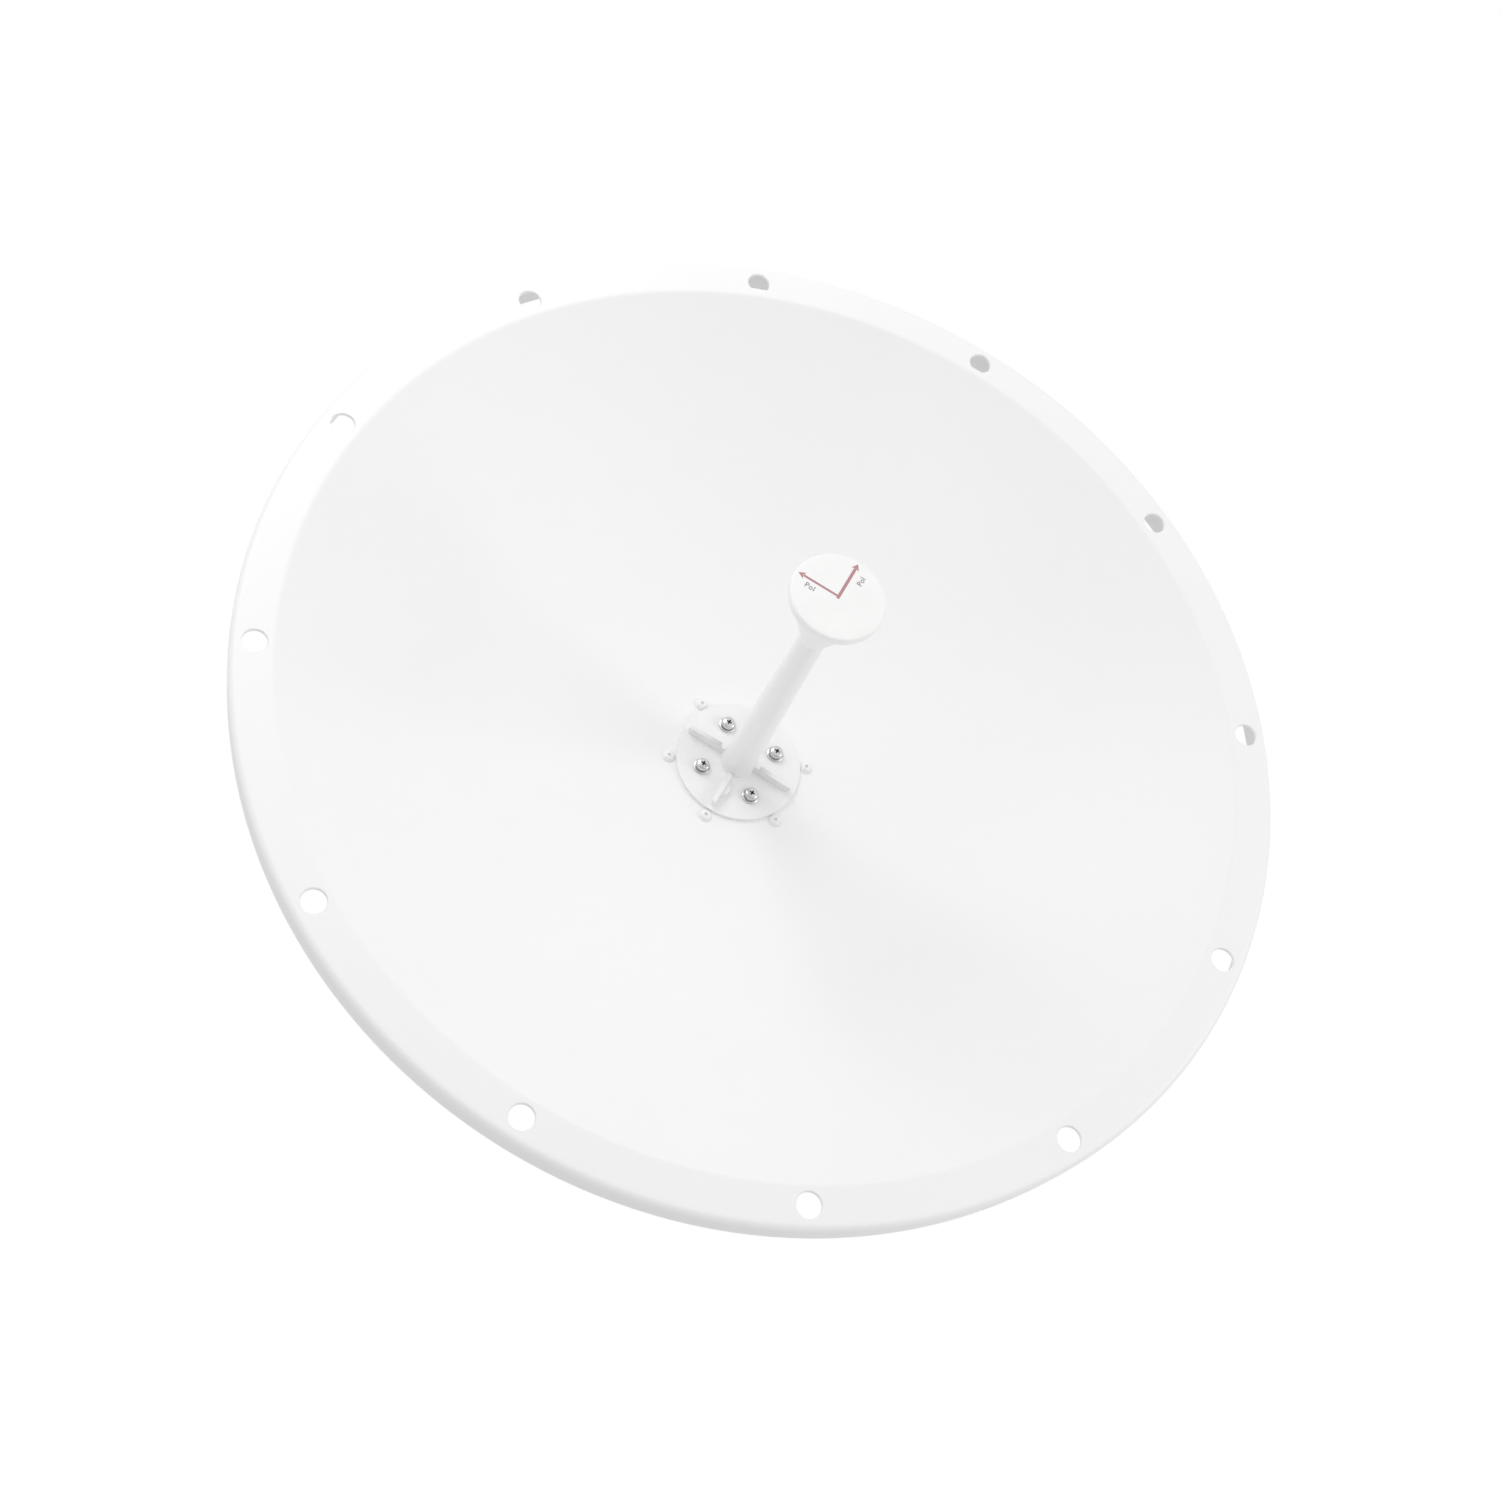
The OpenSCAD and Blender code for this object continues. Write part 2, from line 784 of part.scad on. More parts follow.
// Repeats its children at both jacks, with Z = 0 on the housing's underside
module at_jacks() {
    for (port = [[jack_x, reach_upright], [-jack_x, reach_level]])
        translate([port[0], -port[1], -housing_h / 2])
            children();
}

module jack_insulators() {
    color("ivory")
        at_jacks()
            difference() {
                translate([0, 0, -jack_flange_t])
                    cylinder(h = jack_stem_len + jack_flange_t, r = insulator_r);
                translate([0, 0, -jack_flange_t - 1])
                    cylinder(h = jack_stem_len + jack_flange_t + 2, r = probe_r + thread_fit);
            }
}

module jack_nuts() {
    color("goldenrod")
        at_jacks()
            translate([0, 0, housing_wall])
                difference() {
                    cylinder(h = jack_nut_t, r = (2 * jack_stem_r + 4) / sqrt(3), $fn = 6);
                    translate([0, 0, -1])
                        cylinder(h = jack_nut_t + 2, r = jack_stem_r + thread_fit);
                }
}

// The lower end of a probe: its contact in the jack and its wire up to a height
module probe_riser(x, reach, top_z) {
    contact_z = -housing_h / 2 - jack_flange_t;
    translate([x, -reach, 0]) {
        translate([0, 0, contact_z - contact_len])
            cylinder(h = contact_len - thread_fit, r = contact_r, $fn = 32);
        translate([0, 0, contact_z - 1])
            cylinder(h = top_z - contact_z + 1, r = probe_r, $fn = 32);
        translate([0, 0, top_z])
            sphere(r = probe_r, $fn = 32);
    }
}

module upright_probe() {
    color("goldenrod") {
        probe_riser(jack_x, reach_upright, probe_run_z);
        translate([0, -reach_upright, probe_run_z]) {
            rotate([0, 90, 0])
                cylinder(h = jack_x, r = probe_r, $fn = 32);
            sphere(r = probe_r, $fn = 32);
            cylinder(h = -probe_run_z - probe_tip, r = probe_r, $fn = 32);
        }
    }
}

module level_probe() {
    color("goldenrod") {
        probe_riser(-jack_x, reach_level, 0);
        translate([-jack_x, -reach_level, 0])
            rotate([0, 90, 0])
                cylinder(h = jack_x - probe_tip, r = probe_r, $fn = 32);
    }
}

module hub_bracket() {
    ear_end = reach_tilt - ear_tail;
    plate_w = ear_out - bend_r;
    color("lightslategray")
        difference() {
            union() {
                at_reach(reach_hub_plate)
                    linear_extrude(bracket_t)
                        rounded_rect(2 * plate_w, 2 * hub_plate_h, plate_corner_r);
                intersection() {
                    translate([0, 0, -ear_h])
                        linear_extrude(2 * ear_h)
                            channel(ear_out, reach_hub, ear_end);
                    side_plate(-2 * ear_out, 4 * ear_out)
                        tongue(ear_h, reach_hub + 1, ear_end, ear_corner_r);
                }
            }
            at_reach(reach_hub_plate - 1) {
                cylinder(h = bracket_t + 2, r = window_r, $fn = 128);
                for (x = [-1, 1], y = [-1, 1])
                    translate([x * hub_bolt_xz, y * hub_bolt_xz])
                        cylinder(h = bracket_t + 2, r = lock_bolt_d / 2 + hole_fit);
            }
            side_plate(-2 * ear_out, 4 * ear_out)
                translate([0, -reach_tilt]) {
                    circle(r = pivot_bolt_d / 2 + pivot_fit);
                    for (e = [-1, 1])
                        translate([e * tilt_lock_place_r, 0])
                            circle(r = lock_bolt_d / 2 + thread_fit);
                }
        }
}

// Repeats its children at the four hub bolts, with Z = 0 on the bracket's back face
module at_hub_bolts() {
    at_reach(reach_hub_plate)
        for (x = [-1, 1], y = [-1, 1])
            translate([x * hub_bolt_xz, y * hub_bolt_xz, 0])
                children();
}

module hub_bolts() {
    color("silver")
        at_hub_bolts()
            translate([0, 0, -washer_t(lock_bolt_d)])
                hex_bolt(lock_bolt_d, washer_t(lock_bolt_d) + bracket_t + hub_t - blind_end);
}

module hub_bolt_washers() {
    color("silver")
        at_hub_bolts()
            translate([0, 0, -washer_t(lock_bolt_d)])
                washer(lock_bolt_d);
}

// Repeats its children at the four tilt lock bolts, with Z = 0 at x and pointing inwards
module at_tilt_locks(x) {
    both_sides()
        for (e = [-1, 1])
            translate([x, -reach_tilt, e * tilt_lock_place_r])
                rotate([0, -90, 0])
                    children();
}

module tilt_lock_bolts() {
    grip = washer_t(lock_bolt_d) + 2 * face_gap + 2 * bracket_t;
    color("silver")
        at_tilt_locks(cheek_out + face_gap + washer_t(lock_bolt_d))
            hex_bolt(lock_bolt_d, grip + nut_h(lock_bolt_d) + bolt_end);
}

module tilt_lock_washers() {
    color("silver")
        at_tilt_locks(cheek_out + face_gap + washer_t(lock_bolt_d))
            washer(lock_bolt_d);
}

module tilt_lock_nuts() {
    color("silver")
        at_tilt_locks(ear_in)
            hex_nut(lock_bolt_d);
}

// Repeats its children at both tilt pivots, with Z = 0 at x and pointing inwards
module at_tilt_pivots(x) {
    both_sides()
        translate([x, -reach_tilt, 0])
            rotate([0, -90, 0])
                children();
}

module tilt_pivot_bolts() {
    grip = washer_t(pivot_bolt_d) + 2 * face_gap + 2 * bracket_t;
    color("silver")
        at_tilt_pivots(cheek_out + washer_t(pivot_bolt_d))
            hex_bolt(pivot_bolt_d, grip + nut_h(pivot_bolt_d) + bolt_end);
}

module tilt_pivot_washers() {
    color("silver")
        at_tilt_pivots(cheek_out + washer_t(pivot_bolt_d))
            washer(pivot_bolt_d);
}

module tilt_pivot_nuts() {
    color("silver")
        at_tilt_pivots(ear_in - face_gap)
            hex_nut(pivot_bolt_d);
}

module yoke() {
    slot_half_w = lock_bolt_d / 2 + hole_fit;
    nose = reach_tilt + cheek_nose;
    color("lightslategray") {
        difference() {
            intersection() {
                translate([0, 0, -yoke_h])
                    linear_extrude(2 * yoke_h)
                        channel(cheek_out, reach_yoke, nose);
                side_plate(-2 * cheek_out, 4 * cheek_out)
                    tongue(yoke_h, reach_yoke - 1, nose, cheek_corner_r);
            }
            side_plate(-2 * cheek_out, 4 * cheek_out)
                translate([0, -reach_tilt]) {
                    circle(r = pivot_bolt_d / 2 + thread_fit);
                    for (a = [0, 180])
                        rotate(a)
                            arc_slot(tilt_lock_place_r, slot_half_w, tilt_range + slot_spare);
                }
        }
        top_and_bottom()
            level_plate(yoke_lug_z, bracket_t)
                difference() {
                    tongue(lug_w, reach_yoke + eps, reach_swing - lug_nose, plate_corner_r);
                    translate([0, -reach_swing]) {
                        circle(r = pivot_bolt_d / 2 + pivot_fit);
                        for (a = [0, 180])
                            rotate(a)
                                arc_slot(swing_lock_place_r, slot_half_w, swing_range + slot_spare);
                    }
                }
    }
}

module swing_bolt() {
    head_z = yoke_top_z + face_gap + washer_t(pivot_bolt_d);
    color("silver")
        translate([0, -reach_swing, head_z])
            mirror([0, 0, 1])
                hex_bolt(pivot_bolt_d, 2 * head_z + nut_h(pivot_bolt_d) + bolt_end);
}

module swing_washers() {
    color("silver")
        top_and_bottom()
            translate([0, -reach_swing, yoke_top_z + face_gap])
                washer(pivot_bolt_d);
}

module swing_nut() {
    color("silver")
        translate([0, -reach_swing, -yoke_top_z - face_gap - washer_t(pivot_bolt_d)])
            mirror([0, 0, 1])
                hex_nut(pivot_bolt_d);
}

module swing_spacer() {
    color("silver")
        translate([0, -reach_swing, -lug_gap / 2])
            difference() {
                cylinder(h = lug_gap, r = 0.8 * pivot_bolt_d);
                translate([0, 0, -1])
                    cylinder(h = lug_gap + 2, r = pivot_bolt_d / 2 + thread_fit);
            }
}

// Repeats its children at the four swing lock bolts, with Z = 0 at z and pointing to the middle
module at_swing_locks(z) {
    top_and_bottom()
        for (e = [-1, 1])
            translate([e * swing_lock_place_r, -reach_swing, z])
                mirror([0, 0, 1])
                    children();
}

module swing_lock_bolts() {
    grip = washer_t(lock_bolt_d) + 2 * face_gap + 2 * bracket_t;
    color("silver")
        at_swing_locks(yoke_top_z + face_gap + washer_t(lock_bolt_d))
            hex_bolt(lock_bolt_d, grip + nut_h(lock_bolt_d) + bolt_end);
}

module swing_lock_washers() {
    color("silver")
        at_swing_locks(yoke_top_z + face_gap + washer_t(lock_bolt_d))
            washer(lock_bolt_d);
}

module swing_lock_nuts() {
    color("silver")
        at_swing_locks(mast_lug_z)
            hex_nut(lock_bolt_d);
}

module mast_bracket() {
    color("lightslategray") {
        difference() {
            union() {
                at_reach(pole_r)
                    linear_extrude(saddle_web)
                        rounded_rect(2 * mast_w, mast_h, plate_corner_r);
                top_and_bottom()
                    translate([-saddle_w, -pole_r - eps, jaw_z - jaw_h / 2])
                        cube([2 * saddle_w, pole_r - saddle_reach + eps, jaw_h]);
            }
            translate([0, 0, -mast_h])
                cylinder(h = 2 * mast_h, r = pole_r, $fn = 128);
            both_sides()
                top_and_bottom()
                    translate([bolt_x, 0, jaw_z])
                        rotate([90, 0, 0])
                            cylinder(h = 2 * reach_mast, r = pivot_bolt_d / 2 + hole_fit);
        }
        top_and_bottom()
            level_plate(mast_lug_z, bracket_t)
                difference() {
                    tongue(lug_w, reach_mast - eps, reach_swing + lug_nose, plate_corner_r);
                    translate([0, -reach_swing]) {
                        circle(r = pivot_bolt_d / 2 + thread_fit);
                        for (e = [-1, 1])
                            translate([e * swing_lock_place_r, 0])
                                circle(r = lock_bolt_d / 2 + thread_fit);
                    }
                }
    }
}

// Repeats its children at the four clamp bolts, with Z = 0 on the mast bracket's front face
module at_clamp_bolts() {
    at_reach(reach_mast)
        for (x = [-1, 1], y = [-1, 1])
            translate([x * bolt_x, y * jaw_z, 0])
                mirror([0, 0, 1])
                    children();
}

module clamp_bolts() {
    grip = reach_mast + jaw_ear_back + 2 * washer_t(pivot_bolt_d);
    color("silver")
        at_clamp_bolts()
            translate([0, 0, -washer_t(pivot_bolt_d)])
                hex_bolt(pivot_bolt_d, grip + nut_h(pivot_bolt_d) + jaw_open + thread_spare);
}

module clamp_bolt_washers() {
    color("silver")
        at_clamp_bolts()
            translate([0, 0, -washer_t(pivot_bolt_d)])
                washer(pivot_bolt_d);
}

// A clamp jaw centred on a height
module jaw(z) {
    color("lightslategray")
        translate([0, 0, z - jaw_h / 2])
            difference() {
                linear_extrude(jaw_h)
                    difference() {
                        polygon([
                            [-mast_w, jaw_ear_front], [-saddle_w, saddle_reach],
                            [saddle_w, saddle_reach], [mast_w, jaw_ear_front],
                            [mast_w, jaw_ear_back], [saddle_w, jaw_ear_back],
                            [saddle_w - jaw_ear_rise, jaw_back], [jaw_ear_rise - saddle_w, jaw_back],
                            [-saddle_w, jaw_ear_back], [-mast_w, jaw_ear_back]
                        ]);
                        circle(r = pole_r, $fn = 128);
                    }
                both_sides()
                    translate([bolt_x, 0, jaw_h / 2])
                        rotate([-90, 0, 0])
                            cylinder(h = 2 * jaw_back, r = pivot_bolt_d / 2 + hole_fit);
            }
}

// Repeats its children at a jaw's two bolts, with Z = 0 at a distance behind the pole's axis
module behind_jaw(z, back) {
    both_sides()
        translate([bolt_x, back, z])
            rotate([-90, 0, 0])
                children();
}

module jaw_washers(z) {
    color("silver")
        behind_jaw(z, jaw_ear_back)
            washer(pivot_bolt_d);
}

module jaw_nuts(z) {
    color("silver")
        behind_jaw(z, jaw_ear_back + washer_t(pivot_bolt_d))
            hex_nut(pivot_bolt_d);
}

module upper_jaw() {
    jaw(jaw_z);
}

module upper_jaw_washers() {
    jaw_washers(jaw_z);
}

module upper_jaw_nuts() {
    jaw_nuts(jaw_z);
}

module lower_jaw() {
    jaw(-jaw_z);
}

module lower_jaw_washers() {
    jaw_washers(-jaw_z);
}

module lower_jaw_nuts() {
    jaw_nuts(-jaw_z);
}

reflector();
hub_screws();
feed_base();
feed_screws();
feed_washers();
feed_spring_washers();
feed_tube();
feed_cone();
feed_disc();
spigot_seal();
hub_ring();
feed_housing();
housing_seal();
housing_cover();
cover_screws();
housing_screws();
upright_jack();
level_jack();
jack_insulators();
jack_nuts();
upright_probe();
level_probe();
hub_bracket();
hub_bolts();
hub_bolt_washers();
tilt_lock_bolts();
tilt_lock_washers();
tilt_lock_nuts();
tilt_pivot_bolts();
tilt_pivot_washers();
tilt_pivot_nuts();
yoke();
swing_bolt();
swing_washers();
swing_nut();
swing_spacer();
swing_lock_bolts();
swing_lock_washers();
swing_lock_nuts();
mast_bracket();
clamp_bolts();
clamp_bolt_washers();
upper_jaw();
upper_jaw_washers();
upper_jaw_nuts();
lower_jaw();
lower_jaw_washers();
lower_jaw_nuts();
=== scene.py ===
import json
from math import atan, cos, pi, radians, sin, sqrt, tan

import bpy
from bpy.props import FloatProperty, FloatVectorProperty, IntProperty, PointerProperty
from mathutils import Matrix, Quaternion, Vector

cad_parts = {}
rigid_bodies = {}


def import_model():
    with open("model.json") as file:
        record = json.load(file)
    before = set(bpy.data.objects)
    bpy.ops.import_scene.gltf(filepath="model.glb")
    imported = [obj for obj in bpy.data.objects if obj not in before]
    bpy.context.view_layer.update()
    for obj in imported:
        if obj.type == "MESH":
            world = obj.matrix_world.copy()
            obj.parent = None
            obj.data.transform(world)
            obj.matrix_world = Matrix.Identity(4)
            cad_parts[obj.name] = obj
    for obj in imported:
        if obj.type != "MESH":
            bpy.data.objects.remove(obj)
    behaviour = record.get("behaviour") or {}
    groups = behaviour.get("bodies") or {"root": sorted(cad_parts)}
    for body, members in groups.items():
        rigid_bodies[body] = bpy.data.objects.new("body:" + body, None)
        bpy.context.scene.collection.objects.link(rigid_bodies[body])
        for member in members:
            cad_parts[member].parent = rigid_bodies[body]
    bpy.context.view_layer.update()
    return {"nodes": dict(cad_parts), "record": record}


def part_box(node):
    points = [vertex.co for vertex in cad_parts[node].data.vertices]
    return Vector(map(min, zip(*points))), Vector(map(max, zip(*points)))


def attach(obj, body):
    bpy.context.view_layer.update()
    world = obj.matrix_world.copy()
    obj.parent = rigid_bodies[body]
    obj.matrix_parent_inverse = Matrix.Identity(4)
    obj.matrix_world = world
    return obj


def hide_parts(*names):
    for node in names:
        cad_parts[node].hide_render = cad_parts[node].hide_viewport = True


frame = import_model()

bl_info = {
    "name": "Centre-Fed Dish",
    "version": (1, 0, 0),
    "blender": (4, 5, 0),
    "location": "3D View > Sidebar > Dish",
    "description": "Models a centre-fed dish with its feed, brackets and pole clamp, and sets the studio",
    "category": "Add Mesh",
}

NODES = frame["nodes"]
FORWARDS = Vector((0, -1, 0))
BACKWARDS = Vector((0, 1, 0))
UP = Vector((0, 0, 1))
SAME = 1e-9     # radii closer than this are one
WELD = 1e-6     # points closer than this are merged


# ---------------------------------------------------------------- sizes and colours

class DishShape(bpy.types.PropertyGroup):
    bowl_r: FloatProperty(name="Bowl Radius", description="Radius of the bowl at the rim plane",
                          default=0.299, unit="LENGTH")
    seat_r: FloatProperty(name="Seat Radius", description="Radius of the flat seat round the feed plate",
                          default=0.050, unit="LENGTH")
    sheet_t: FloatProperty(name="Sheet Thickness", description="Thickness of the spun sheet",
                           default=0.002, unit="LENGTH")
    edge_r: FloatProperty(name="Edge Radius", description="Radius of the rim's rounded outer edge",
                          default=0.004, unit="LENGTH")
    bead: FloatProperty(name="Bead Height", description="How far the rim's edge stands proud",
                        default=0.0007, unit="LENGTH")
    lip_r: FloatProperty(name="Lip Radius", description="Radius of the soft corner from bowl to rim",
                         default=0.005, unit="LENGTH")
    hole_d: FloatProperty(name="Rim Hole", description="Diameter of a rim hole",
                          default=0.0145, unit="LENGTH")
    hole_place_r: FloatProperty(name="Rim Hole Circle", description="Radius of the circle of rim holes",
                                default=0.310, unit="LENGTH")
    hole_count: IntProperty(name="Rim Holes", description="Number of holes round the rim", default=12)
    thread_pitch: FloatProperty(name="Thread Pitch", description="Pitch of a 10 mm bolt's thread",
                                default=0.0015, unit="LENGTH")


class DishColours(bpy.types.PropertyGroup):
    reflector: FloatVectorProperty(name="Reflector", description="Powder coat of the reflector",
                                   default=(0.905, 0.905, 0.905), subtype="COLOR")
    feed: FloatVectorProperty(name="Feed", description="Paint of the feed plate and tube",
                              default=(0.88, 0.88, 0.885), subtype="COLOR")
    head: FloatVectorProperty(name="Head", description="Plastic of the cone and the head disc",
                              default=(0.93, 0.93, 0.925), subtype="COLOR")
    hub: FloatVectorProperty(name="Hub", description="Paint of the hub and the feed housing",
                             default=(0.70, 0.71, 0.715), subtype="COLOR")
    bright: FloatVectorProperty(name="Bright Steel", description="Plated screws on the feed plate",
                                default=(0.64, 0.64, 0.64), subtype="COLOR")
    stainless: FloatVectorProperty(name="Stainless Steel", description="Bolts, nuts and washers",
                                   default=(0.55, 0.55, 0.55), subtype="COLOR")
    zinc: FloatVectorProperty(name="Zinc", description="Hot-dip coat of the steel brackets",
                              default=(0.50, 0.52, 0.54), subtype="COLOR")
    cast: FloatVectorProperty(name="Casting", description="Bare cast clamp jaws",
                              default=(0.50, 0.505, 0.51), subtype="COLOR")
    nickel: FloatVectorProperty(name="Nickel", description="Plating of the coaxial sockets",
                                default=(0.62, 0.59, 0.54), subtype="COLOR")
    brass: FloatVectorProperty(name="Gilt Brass", description="Probes and contacts",
                               default=(0.78, 0.58, 0.26), subtype="COLOR")
    insulator: FloatVectorProperty(name="Insulator", description="White insulators in the sockets",
                                   default=(0.86, 0.86, 0.84), subtype="COLOR")
    rubber: FloatVectorProperty(name="Rubber", description="Seals",
                                default=(0.03, 0.03, 0.03), subtype="COLOR")
    arrows: FloatVectorProperty(name="Arrows", description="Print of the two arrows",
                                default=(0.50, 0.255, 0.275), subtype="COLOR")
    words: FloatVectorProperty(name="Words", description="Print of the two words",
                               default=(0.34, 0.28, 0.31), subtype="COLOR")


class DishStudio(bpy.types.PropertyGroup):
    camera_place: FloatVectorProperty(name="Camera", description="Where the camera stands",
                                      default=(-0.0007, -1.4031, -0.7059),
                                      subtype="TRANSLATION", unit="LENGTH")
    camera_target: FloatVectorProperty(name="Target", description="The point that the camera looks at",
                                       default=(-0.0214, -0.3046, 0.0243),
                                       subtype="TRANSLATION", unit="LENGTH")
    camera_roll: FloatProperty(name="Roll", description="Turn of the camera about its line of sight",
                               default=radians(31.939), subtype="ANGLE")
    lens: FloatProperty(name="Lens", description="Focal length in millimetres", default=52.07)
    shift: FloatVectorProperty(name="Shift", description="Sideways and upright lens shift",
                               default=(-0.0125, -0.0710), size=2)
    floor_z: FloatProperty(name="Floor", description="Height of the floor", default=-1.15, unit="LENGTH")
    sky: FloatProperty(name="Sky", description="Strength of the even light all round", default=0.75)
    key: FloatProperty(name="Key Light", description="Power of the key light, upper left", default=3.8)
    fill: FloatProperty(name="Fill Light", description="Power of the light on the right", default=7.5)
    low: FloatProperty(name="Low Light", description="Power of the light low on the left", default=3.0)
    back: FloatProperty(name="Back Light", description="Power of the light above and behind", default=4.0)


# ---------------------------------------------------------------- bench tools

def only(*pieces):
    """Leaves object mode on with just these pieces selected."""
    if bpy.context.object is not None and bpy.context.object.mode != "OBJECT":
        bpy.ops.object.mode_set(mode="OBJECT")
    for other in bpy.context.view_layer.objects:
        other.select_set(False)
    for piece in pieces:
        piece.select_set(True)
    bpy.context.view_layer.objects.active = pieces[0] if pieces else None


def named(piece, name):
    piece.name = name
    piece.data.name = name
    return piece


def settled(*pieces):
    """Puts the size, turn and place of pieces into their meshes."""
    only(*pieces)
    bpy.ops.object.transform_apply(location=True, rotation=True, scale=True)


def placed(piece, size=(1, 1, 1), turn=(0, 0, 0), place=(0, 0, 0)):
    """Sizes, turns and places a piece, all kept in its mesh."""
    piece.scale, piece.rotation_euler, piece.location = size, turn, place
    settled(piece)
    return piece


def block(name):
    """A unit block, to be shaped into a cutter."""
    only()
    bpy.ops.mesh.primitive_cube_add(size=1)
    return named(bpy.context.object, name)


def picked(piece, test):
    """Selects the vertices that test picks, and the edges and faces that lie between them."""
    vertices = piece.data.vertices
    for vertex in vertices:
        vertex.select = test(vertex)
    for item in list(piece.data.edges) + list(piece.data.polygons):
        item.select = all(vertices[i].select for i in item.vertices)


def drawn(name, rings, sides):
    """Draws a skin up through rings of (radius, height), and leaves it all selected in edit mode."""
    only()
    bpy.ops.mesh.primitive_circle_add(vertices=sides, radius=rings[0][0], enter_editmode=True)
    piece = named(bpy.context.object, name)
    bpy.ops.mesh.select_mode(type="EDGE")
    bpy.ops.mesh.select_all(action="SELECT")
    bpy.ops.transform.translate(value=(0, 0, rings[0][1]))
    for (r, z), (r_next, z_next) in zip(rings, rings[1:]):
        bpy.ops.mesh.extrude_edges_move(TRANSFORM_OT_translate={"value": (0, 0, z_next - z)})
        if abs(r_next - r) > SAME:
            bpy.ops.transform.resize(value=(r_next / r, r_next / r, 1), center_override=(0, 0, z_next))
    bpy.ops.mesh.select_all(action="SELECT")
    return piece


def turned(name, rings, sides=96, closed=False):
    """Turns a piece round Z from (radius, height) pairs. A closed one's last pair joins its first."""
    piece = drawn(name, rings + rings[:1] if closed else rings, sides)
    if closed:
        bpy.ops.mesh.remove_doubles(threshold=WELD)
    else:
        bpy.ops.mesh.fill_holes(sides=0)
    bpy.ops.mesh.select_all(action="SELECT")
    bpy.ops.mesh.normals_make_consistent(inside=False)
    bpy.ops.object.mode_set(mode="OBJECT")
    return piece


def corner(r, z, start, end, radius, steps=4):
    """Points on a rounded corner about (r, z), from one angle to another in degrees."""
    turn = [radians(start + (end - start) * i / steps) for i in range(steps + 1)]
    return [(r + radius * cos(a), z + radius * sin(a)) for a in turn]


def modified(piece, kind, **settings):
    """Adds a modifier, sets it up and applies it."""
    only(piece)
    modifier = piece.modifiers.new(kind.title(), kind)
    for key, value in settings.items():
        setattr(modifier, key, value)
    bpy.ops.object.modifier_apply(modifier=modifier.name)
    return piece


def cut(piece, tool, operation="DIFFERENCE"):
    """Cuts a piece with a tool, which is used up."""
    modified(piece, "BOOLEAN", object=tool, operation=operation, solver="EXACT")
    bpy.data.objects.remove(tool)
    return piece


def joined(name, pieces):
    only(*pieces)
    if len(pieces) > 1:
        bpy.ops.object.join()
    return named(bpy.context.object, name)


def copied(piece):
    twin = piece.copy()
    twin.data = piece.data.copy()
    bpy.context.scene.collection.objects.link(twin)
    return twin


def laid(piece, way, place):
    """Turns a piece's own Z along way and puts it at place, all kept in its mesh."""
    piece.rotation_mode = "QUATERNION"
    piece.rotation_quaternion = Vector(way).to_track_quat("Z", "Y")
    piece.location = place
    settled(piece)
    return piece


def smooth(piece, angle=35):
    only(piece)
    bpy.ops.object.shade_smooth_by_angle(angle=radians(angle))
    return piece


def fitted(piece, body, slot, *nodes, finish=None):
    """Gives a piece its body, its slot with that slot's finish, and the CAD nodes that it stands for."""
    piece.data.materials.clear()
    piece.data.materials.append(finish or FINISHES[slot])
    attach(piece, body)
    if nodes:
        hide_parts(*nodes)
    return piece


def paint_shade_onto(piece, node, dark):
    """Paints shade with a near-black finish on the faces that dark(radius from the axis, depth behind the
    front, face) picks.
    """
    places = [((lo.x + hi.x) / 2, (lo.z + hi.z) / 2) for lo, hi in solids(node)]
    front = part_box(node)[0].y
    piece.data.materials.append(FINISHES["painted_recess_shade"])
    for face in piece.data.polygons:
        at = face.center
        r = min(sqrt((at.x - x) ** 2 + (at.z - z) ** 2) for x, z in places)
        if dark(r, at.y - front, face):
            face.material_index = 1


def solids(node):
    """The lowest and highest corner of each separate solid of a CAD node."""
    mesh = NODES[node].data
    spots, owner = {}, []
    for vertex in mesh.vertices:
        key = tuple(round(c, 6) for c in vertex.co)
        owner.append(spots.setdefault(key, len(spots)))
    parent = list(range(len(spots)))

    def root(i):
        while parent[i] != i:
            parent[i] = parent[parent[i]]
            i = parent[i]
        return i

    for face in mesh.polygons:
        first = root(owner[face.vertices[0]])
        for v in face.vertices[1:]:
            parent[root(owner[v])] = first
    groups = {}
    for key, i in spots.items():
        groups.setdefault(root(i), []).append(key)
    boxes = [(Vector(map(min, *g)), Vector(map(max, *g))) for g in groups.values()]
    return sorted(boxes, key=lambda b: tuple(round(c, 4) for c in b[0]))


def end_of(box, way, depth=0.0):
    """The middle of a box's end that way points away from, moved along way by depth."""
    lo, hi = box
    place = (lo + hi) / 2
    for i in range(3):
        if abs(way[i]) > 0.5:
            place[i] = (lo[i] if way[i] > 0 else hi[i]) + way[i] * depth
    return place


def repeated(name, pattern, node, way_of):
    """Copies a pattern to each solid of a CAD node. way_of gives each copy's direction and depth."""
    made = []
    for box in solids(node):
        way, depth = way_of(box)
        made.append(laid(copied(pattern), way, end_of(box, way, depth)))
    bpy.data.objects.remove(pattern)
    return joined(name, made)


